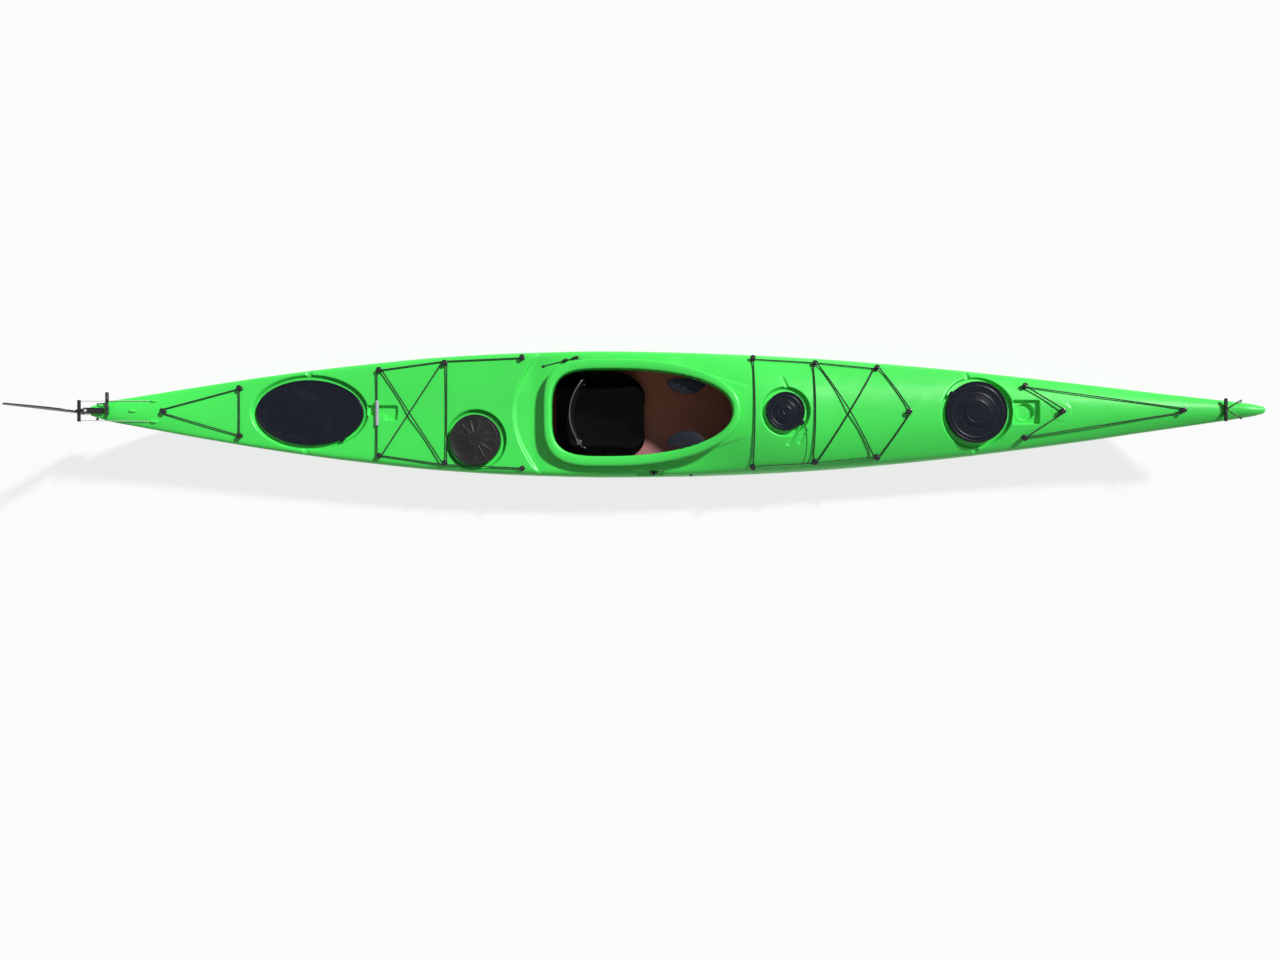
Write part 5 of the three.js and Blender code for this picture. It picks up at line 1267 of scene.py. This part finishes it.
# Deck lines: name, cord, part of the deck, its studs in order, lift of each run where it crosses another, and
# whether the line is an endless loop
LINES = [
    ("stern_rope", "rope", "stern", ("left", "centre", "right"), (), False),
    ("stern_bungee", "bungee", "stern", ("left", "right"), (), False),
    ("aft_rope_left", "rope", "aft", ("rear_left", "mid_left", "front_left"), (), False),
    ("aft_rope_right", "rope", "aft", ("rear_right", "mid_right", "front_right"), (), False),
    ("fore_rope_left", "rope", "fore", ("rear_left", "mid_left", "front_left"), (), False),
    ("fore_rope_right", "rope", "fore", ("rear_right", "mid_right", "front_right"), (), False),
    ("fore_bungee_cross", "bungee", "fore", ("rear_left", "rear_right"), (), False),
    ("bow_rope", "rope", "bow", ("left", "front", "right"), (), False),
    ("bow_bungee", "bungee", "bow", ("left", "rear", "right"), (), False),
    ("aft_bungee_loop", "bungee", "aft", ("rear_left", "rear_right", "mid_left", "mid_right"),
     (0, 0, 0, 6.9), True),
    ("fore_bungee_loop", "bungee", "fore", ("centre", "front_left", "mid_right", "mid_left", "front_right"),
     (0, 0, 0, 6.9, 0), True),
]
# Half a stud's neck, and how high up it a bungee and a rope lie
NECK, BUNGEE_LEVEL, ROPE_LEVEL = 5.5, 13, 5.5
# Least half angle that a line's arc round a neck spans
LEAST_TURN = math.pi / 12
# Feet and facings of the studs worked out so far
STUD_PLACES = {}


def stud_place(name):
    """Foot and facing of a stud on the finished deck, kept for the lines."""
    if name not in STUD_PLACES:
        point, normal = deck_at(*STUDS[name])
        STUD_PLACES[name] = (point + normal * CLEAR, normal)
    return STUD_PLACES[name]


class KAYAK_OT_studs(bpy.types.Operator):
    """Waisted deck studs with domed caps"""
    bl_idname = "kayak.studs"
    bl_label = "Deck studs"

    def execute(self, context):
        outline = rounded([
            [0, -2], [12, -2], [12, 1.8], [8, 3], [5.6, 4.6], [5.4, 14.5], [7.5, 16.6], [12, 17.4],
            [12.6, 19], [11.4, 20.8], [7.4, 22], [3.8, 22.2], [3.6, 21.3], [0, 21.3],
        ], 1.1, 3)
        for name in STUDS:
            point, normal = stud_place(name)
            stud = turned(outline, 36, place=point, tilt=onto(normal))
            piece(f"{name}_stud", [stud], "fitting", replaced=(name,))
        return {"FINISHED"}


def way_to(a, b):
    """Direction from one stud to another, in the plane of the first one's base."""
    way = b[0] - a[0]
    return unit(way - a[1] * way.dot(a[1]))


def round_neck(stud, before, after, radius, level):
    """Arc of a line round a stud's neck on its way from one stud to the next: points at one reach from the
    neck's middle, spread over the angle that the line turns by."""
    reach = NECK + radius + 3 * CLEAR
    arriving, leaving = way_to(stud, before), way_to(stud, after)
    turn = max(LEAST_TURN, (math.pi - math.acos(np.clip(arriving.dot(leaving), -1, 1))) / 2)
    if turn == LEAST_TURN:
        outer = unit(np.cross(stud[1], leaving))
        outer = -outer if outer[1] * stud[0][1] < 0 else outer
    else:
        outer = -unit(arriving + leaving)
    along = np.cross(stud[1], outer)
    angle = np.sign(arriving.dot(along)) * turn * np.linspace(1, -1, 7)[:, None]
    return stud[0] + stud[1] * level + outer * reach * np.cos(angle) + along * reach * np.sin(angle)


def taut(a, b, radius, steps, hump=0.0):
    """Points on the straight between two places, lifted where the deck's crown would touch it, and by a
    hump that falls off evenly from the middle."""
    t = np.arange(1, steps)[:, None] / steps
    p = a + (b - a) * t
    x, y = p[:, 0], p[:, 1]
    deck = plain_deck(x, y / half_at(x)) - sunk(x, y)
    crossing = hump * np.maximum(0, 1 - np.abs(2 * t[:, 0] - 1) * 2.5)
    p[:, 2] = np.maximum(p[:, 2], deck + radius * 2.2) + crossing
    return p


def line_points(names, radius, level, steps, humps=(), closed=False):
    """Whole route of a line from stud to stud, round each neck that it passes."""
    route = [stud_place(n) for n in names]
    last = len(route) - 1
    stops = []
    for i, stud in enumerate(route):
        if closed or 0 < i < last:
            stops.append(round_neck(stud, route[i - 1], route[(i + 1) % len(route)], radius, level))
        else:
            other = route[1] if i == 0 else route[last - 1]
            way = way_to(stud, other)
            stops.append((stud[0] + stud[1] * level + way * (NECK + radius))[None])
    rows = []
    for i, stop in enumerate(stops):
        rows.append(stop)
        if closed or i < last:
            hump = humps[i] if i < len(humps) else 0
            rows.append(taut(stop[-1], stops[(i + 1) % len(stops)][0], radius, steps, hump))
    return np.concatenate(rows)


def neck_loop(stud, radius, level):
    """Ring of cord tied round a stud's neck: a circle in the plane square to the stud."""
    angle = circle(24)[:, None]
    a = unit(np.cross(stud[1], [0, 1, 0]))
    b = np.cross(stud[1], a)
    reach = NECK + radius + 0.1
    return stud[0] + stud[1] * level + (a * np.cos(angle) + b * np.sin(angle)) * reach


class KAYAK_OT_lines(bpy.types.Operator):
    """Perimeter ropes and crossed bungees, held taut by the studs"""
    bl_idname = "kayak.lines"
    bl_label = "Deck lines"

    def execute(self, context):
        sizes = context.scene.kayak_sizes
        cords = {"rope": (sizes.rope / MM / 2, ROPE_LEVEL), "bungee": (sizes.bungee / MM / 2, BUNGEE_LEVEL)}
        for name, cord, deck, studs, humps, closed in LINES:
            radius, level = cords[cord]
            names = [f"{deck}_fairlead_{stud}" for stud in studs]
            points = line_points(names, radius, level, 12, humps, closed)
            path = smooth_path(points, 3, closed)
            sheets = [tube(path, radius, 12, closed)]
            if not closed:
                for end in (names[0], names[-1]):
                    sheets.append(tube(neck_loop(stud_place(end), radius, level), radius, 10, True))
            piece(f"{name}_line", sheets, cord, replaced=(name,))
        return {"FINISHED"}


# Rudder: the hull's end that it hangs on, the top of its head, the front of its yoke, and its wires' radius
STERN = -LENGTH / 2
HEAD_TOP = float(plain_deck(STERN, 0)) + 7 - 9 - CLEAR
YOKE_FRONT = STERN - 52 + 6.5 + CLEAR
WIRE = 1.5
# Fairings where lines leave the deck: place along the boat and share of the half breadth
CONES = ((0.0517, 0.565), (0.0517, -0.565), (0.0346, 0))


class KAYAK_OT_wires(bpy.types.Operator):
    """Steering wires from the rudder's yoke to the fairings on the stern deck"""
    bl_idname = "kayak.wires"
    bl_label = "Steering wires"

    def execute(self, context):
        share, across = CONES[0]
        cone_x = place_of(share) - 19 - CLEAR
        cone_y = across * float(half_at(place_of(share)))
        cone_z = on_deck(cone_x, cone_y)[0][2] + 3.2
        for name, side in (("left", 1), ("right", -1)):
            a = np.array([YOKE_FRONT, side * 43, HEAD_TOP - 3])
            b = np.array([cone_x + 3, side * cone_y, cone_z])
            path = np.concatenate([a[None], taut(a, b, WIRE + 0.1, 40), b[None]])
            made = piece(f"rudder_wire_{name}_strand", [tube(path, WIRE, 10)], "steel", None)
            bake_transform(made)
            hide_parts(f"rudder_wire_{name}")
        return {"FINISHED"}


# Toggles: radius of their cord, and half the length of the grip bar
TOGGLE_CORD, GRIP = 2.4, 52


def toggle_bar(centre):
    """Grip bar along Y: its radius is 7.4 less a bell curve for the waist, plus a faded cosine for the rings,
    times the root of a falling power that rounds the ends."""
    t = np.linspace(-1, 1, 65)
    far = np.abs(t)
    rings = ease((far - 0.22) / 0.1) * (1 - ease((far - 0.8) / 0.1))
    r = 7.4 - 1.9 * np.exp(-(t / 0.16) ** 2) + 0.35 * np.cos(far * 16 * np.pi) * rings
    r = r * np.sqrt(np.clip(1 - np.clip((far - 0.86) / 0.14, 0, 1) ** 2.4, 0, 1))
    return turned(np.stack([r, t * GRIP], -1), 32, place=centre, tilt=onto_side(1))


class KAYAK_OT_toggles(bpy.types.Operator):
    """Carrying toggles at bow and stern, each on a cord through a hole in the hull's end"""
    bl_idname = "kayak.toggles"
    bl_label = "Toggles"

    def execute(self, context):
        # Bow: the cord leaves the grip's middle, and each arm goes down one side to the hole
        x = place_of(0.9685)
        z = on_deck(x, 0)[0][2] + 7.5 + 2 * CLEAR
        hole_x = place_of(0.9833)
        hole_z = float(plain_deck(hole_x, 0)) - 26
        side = float(half_at(hole_x)) + 2.5 + 2 * CLEAR
        arm = np.array([
            [x, 2, z + 4], [x + 8, 6, z + 8], [hole_x - 25, side, hole_z + 38],
            [hole_x - 8, side, hole_z + 20], [hole_x - 1, side - 0.5, hole_z + 5],
            [hole_x, side - 3, hole_z], [hole_x, side - 8, hole_z],
        ])
        path = smooth_path(np.concatenate([arm[::-1], arm * [1, -1, 1]]), 8)
        path[:, 2] = np.minimum(path[:, 2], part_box("bow_toggle")[1][2] / MM - TOGGLE_CORD)
        cord = tube(path, TOGGLE_CORD, 12, up=(1, 0, 0.2))
        piece("bow_toggle_grip", [toggle_bar((x, 0, z)), cord], "fitting", "bow_toggle", ("bow_toggle",))

        # Stern: the cord goes down to port, through the hole, and ends in a knot to starboard
        x, y = place_of(0.0158), 30
        z = on_deck(x, 0)[0][2] + 15
        hole_x = place_of(0.0035)
        hole_z = float(plain_deck(hole_x, 0)) - 25
        edge = float(half_at(hole_x)) + 2.5 + 5 * CLEAR
        path = smooth_path([
            [x, y, z], [hole_x + 30, y, z - 2.5], [hole_x + 7.5, edge, hole_z + 15],
            [hole_x, edge, hole_z + 2.5], [hole_x, edge - 5, hole_z], [hole_x, 0, hole_z],
            [hole_x, -edge, hole_z],
        ], 8)
        cord = tube(path, TOGGLE_CORD, 12, up=(1, 0, 0.3))
        knot = pillow((hole_x, -edge - 3, hole_z), (6, 5, 6), 0.8, fine=8)
        piece("stern_toggle_grip", [toggle_bar((x, y, z)), cord, knot], "fitting", "stern_toggle",
              ("stern_toggle",))
        return {"FINISHED"}


def laid(points, lift):
    """Points given as (x, y) put on the deck and lifted, for a line that lies on it."""
    return np.array([on_deck(x, y)[0] + [0, 0, lift] for x, y in points])


def fairings():
    """Teardrops whose radius swells to the mouth with a power of a sine and tapers aft."""
    t = np.linspace(0, 1, 25)[:, None]
    angle = circle(32)[None, :]
    swell = np.sin(t * np.pi) ** 0.6 * (1 - 0.35 * t)
    drop = np.stack([(t - 0.4) * 42 + 0 * angle, 10 * swell * np.cos(angle), 9.5 * swell * np.sin(angle)], -1)
    spots = [deck_at(*cone) for cone in CONES]
    return [sheet(placed(drop, point, onto(normal)), wrap_cols=True) for point, normal in spots]


class KAYAK_OT_trim(bpy.types.Operator):
    """Line fairings, hoist line with its bead and cleat, sleeve, tether and bolts"""
    bl_idname = "kayak.trim"
    bl_label = "Small trim"

    def execute(self, context):
        hull_piece("line_fairings", fairings())

        # Hoist line from its eye, through its bead, to its cleat, with a loose loop at its end
        eye, bead, end = (-592, 214), (-492.5, 240), (-447, 252)
        hoist = laid([eye, (-560, 223), (-520, 232.5), bead, (-466, 246), end], 4.5)
        loop = laid([end, (-432, 250), (-424, 244), (-430, 238), (-442, 243), (-452, 250)], 6)
        lines = [tube(smooth_path(path, steps), 1.7, 10) for path, steps in ((hoist, 8), (loop, 6))]
        piece("hoist_line", lines, "rope")
        cleat, upright = on_deck(-447, 253)
        tilt, way = onto(upright), about_z(math.atan2(20, 60))
        foot, facing = on_deck(*eye)
        button = rounded([[0, -1], [7, -1], [7, 1.5], [3.4, 3.4], [0, 3.4]], 1, 3)
        # The last is a small drain fitting on the starboard shoulder
        drain_x, drain_across = 83.0, 0.985
        drain = rounded([[0, -3], [8, -3], [8, 1.5], [5, 4], [0, 4]], 1.2, 3)
        spot = (drain_x, -drain_across * float(half_at(drain_x)), float(plain_deck(drain_x, drain_across)))
        piece("hoist_bead_and_cleat", [
            pillow(on_deck(*bead)[0] + [0, 0, 6], (15, 6.5, 6.5), 0.75, way),
            pillow(cleat + upright * 3, (17, 5.5, 3), 0.5, tilt @ way),
            pillow(cleat + upright * 8, (13, 3.2, 3), 0.6, tilt @ way),
            turned(button, 24, place=foot, tilt=onto(facing)),
            turned(drain, 28, place=spot, tilt=onto(unit(np.array([0, -0.8, 0.6])))),
        ], "fitting")

        # Sleeve on the rear run of the aft bungee
        left, right = (stud_place(f"aft_fairlead_rear_{side}")[0] for side in ("left", "right"))
        run = taut(left + [0, 0, BUNGEE_LEVEL], right + [0, 0, BUNGEE_LEVEL], 3, 60)
        middle = run[(run[:, 1] > -64) & (run[:, 1] < 52)]
        piece("bungee_sleeve", [tube(middle + [-8, 0, 1], 8.4, 20)], "sleeve")

        # Tether of the small hatch's cover
        tether = laid([(573, -38), (590, -70), (598, -120), (600, -170), (594, -215), (585, -238)], 1.2)
        piece("cover_tether", [tube(smooth_path(tether, 8), 0.9, 8)], "bungee")

        # Heads of the foot rails' bolts, in the sides at the rails' height
        heads = []
        head = rounded([[0, -2], [8, -2], [8, 0.8], [5.5, 2.4], [2.2, 2.4], [2.0, 1.2], [0, 1.2]], 0.8, 3)
        rail_from, rail_share, rail_z = 0.5904, 0.0827, 124
        for part in (0.06, 0.94):
            x = place_of(rail_from + part * rail_share)
            wide = float(half_at(x)) - KEEL_FLAT
            v = side_share(x, rail_z)
            slope = float((plain_bottom(x, v + 0.002) - plain_bottom(x, v - 0.002)) / (0.004 * wide))
            for side in (1, -1):
                out = unit(np.array([0, slope, -1.0])) * [1, side, 1]
                place = (x, side * (KEEL_FLAT + v * wide), rail_z)
                heads.append(turned(head, 28, place=place, tilt=onto_any(out)))
        piece("foot_rail_bolts", heads, "steel")
        return {"FINISHED"}


def side_share(x, height):
    """Share of the bottom's breadth at which the skin reaches a height, by halving."""
    low, high = 0.0, 1.0
    for _ in range(30):
        v = (low + high) / 2
        low, high = (v, high) if plain_bottom(x, v) < height else (low, v)
    return low


def onto_any(normal):
    """Rotation that takes Z to a unit normal that may point down: its columns are the normal's cross
    products with X and with each other."""
    n = np.array(normal, float)
    a = unit(np.cross(n, [1, 0, 0]))
    return np.stack([np.cross(a, n), a, n], 1)


def seen_rays(tree):
    """1 for rays that see the backdrop, straight, in a gloss or through something clear, and 0 for light."""
    camera, glossy, clear = (
        add_node(tree, "LightPath", output=f"Is {ray} Ray") for ray in ("Camera", "Glossy", "Transmission"))
    either = add_node(tree, "Math", (camera, glossy), operation="MAXIMUM")
    return add_node(tree, "Math", (either, clear), operation="MAXIMUM")


class KAYAK_OT_stage(bpy.types.Operator):
    """Camera above the boat, soft studio light, pale floor"""
    bl_idname = "kayak.stage"
    bl_label = "Stage"

    def execute(self, context):
        scene = context.scene
        lens = bpy.data.cameras.new("Camera")
        lens.lens = 26.13
        lens.sensor_width = 36
        lens.shift_y = 0.0336
        lens.clip_end = 100
        scene.camera = in_scene("Camera", lens)
        scene.camera.location = (-0.1512, -0.5, 4.46)

        # The light comes from ahead and to port, a little under half way up
        key = bpy.data.lights.new("Key", "SUN")
        key.energy = 4.25
        key.angle = math.radians(5)
        in_scene("Key", key).rotation_euler = (0, math.radians(51), math.radians(41))

        # World: dim to the boat, so that its shades stay, and white to the camera and in reflections
        world = bpy.data.worlds.new("Studio")
        scene.world = world
        world.use_nodes = True
        tree = world.node_tree
        back = tree.nodes["Background"]
        back.inputs["Color"].default_value = (1, 1, 1, 1)
        strength = add_node(tree, "MapRange", (seen_rays(tree), 0, 1, 0.16, 1.0))
        tree.links.new(strength, back.inputs["Strength"])

        # Floor: white to the camera and in reflections, darkened where the boat shades it
        half = 14.0
        mesh = bpy.data.meshes.new("floor")
        mesh.from_pydata([(-half, -half, 0), (half, -half, 0), (half, half, 0), (-half, half, 0)], [],
                         [(0, 1, 2, 3)])
        paint, tree = start_material("Floor, matt white paint", (0.8, 0.8, 0.8), 0.9, specular_ior_level=0.1)
        matt = tree.nodes["Principled BSDF"].outputs["BSDF"]
        glow = add_node(tree, "Emission", {"Color": (1, 1, 1), "Strength": 1.0})
        part = add_node(tree, "MapRange", (seen_rays(tree), 0, 1, 0, 0.8))
        mix = add_node(tree, "MixShader", (part, matt, glow))
        tree.links.new(mix, tree.nodes["Material Output"].inputs["Surface"])
        mesh.materials.append(paint)
        floor = in_scene("floor", mesh)
        scene.view_settings.view_transform = "Standard"
        return {"FINISHED"}


class KAYAK_PT_panel(bpy.types.Panel):
    """Lists the kayak's pieces and its sizes and colours"""
    bl_idname = "KAYAK_PT_panel"
    bl_label = "Sea kayak"
    bl_space_type = "VIEW_3D"
    bl_region_type = "UI"
    bl_category = "Kayak"

    def draw(self, context):
        for made in OPERATORS:
            self.layout.operator(made.bl_idname)
        for group in (context.scene.kayak_sizes, context.scene.kayak_colours):
            for key in group.__annotations__:
                self.layout.prop(group, key)


OPERATORS = (
    KAYAK_OT_stage, KAYAK_OT_lines, KAYAK_OT_hull, KAYAK_OT_lining, KAYAK_OT_coaming, KAYAK_OT_rims,
    KAYAK_OT_covers, KAYAK_OT_pod, KAYAK_OT_seat, KAYAK_OT_backrest, KAYAK_OT_braces, KAYAK_OT_small_parts,
    KAYAK_OT_studs, KAYAK_OT_wires, KAYAK_OT_toggles, KAYAK_OT_trim,
)
CLASSES = (KayakSizes, KayakColours, *OPERATORS, KAYAK_PT_panel)


def register():
    """Registers the classes, and puts the sizes and colours on the scene."""
    for made in CLASSES:
        bpy.utils.register_class(made)
    bpy.types.Scene.kayak_sizes = bpy.props.PointerProperty(type=KayakSizes)
    bpy.types.Scene.kayak_colours = bpy.props.PointerProperty(type=KayakColours)


def unregister():
    """Takes away what register adds."""
    del bpy.types.Scene.kayak_colours
    del bpy.types.Scene.kayak_sizes
    for made in reversed(CLASSES):
        bpy.utils.unregister_class(made)


def main():
    """Makes every piece in order."""
    register()
    for made in OPERATORS:
        group, name = made.bl_idname.split(".")
        getattr(getattr(bpy.ops, group), name)()


if __name__ == "__main__":
    main()
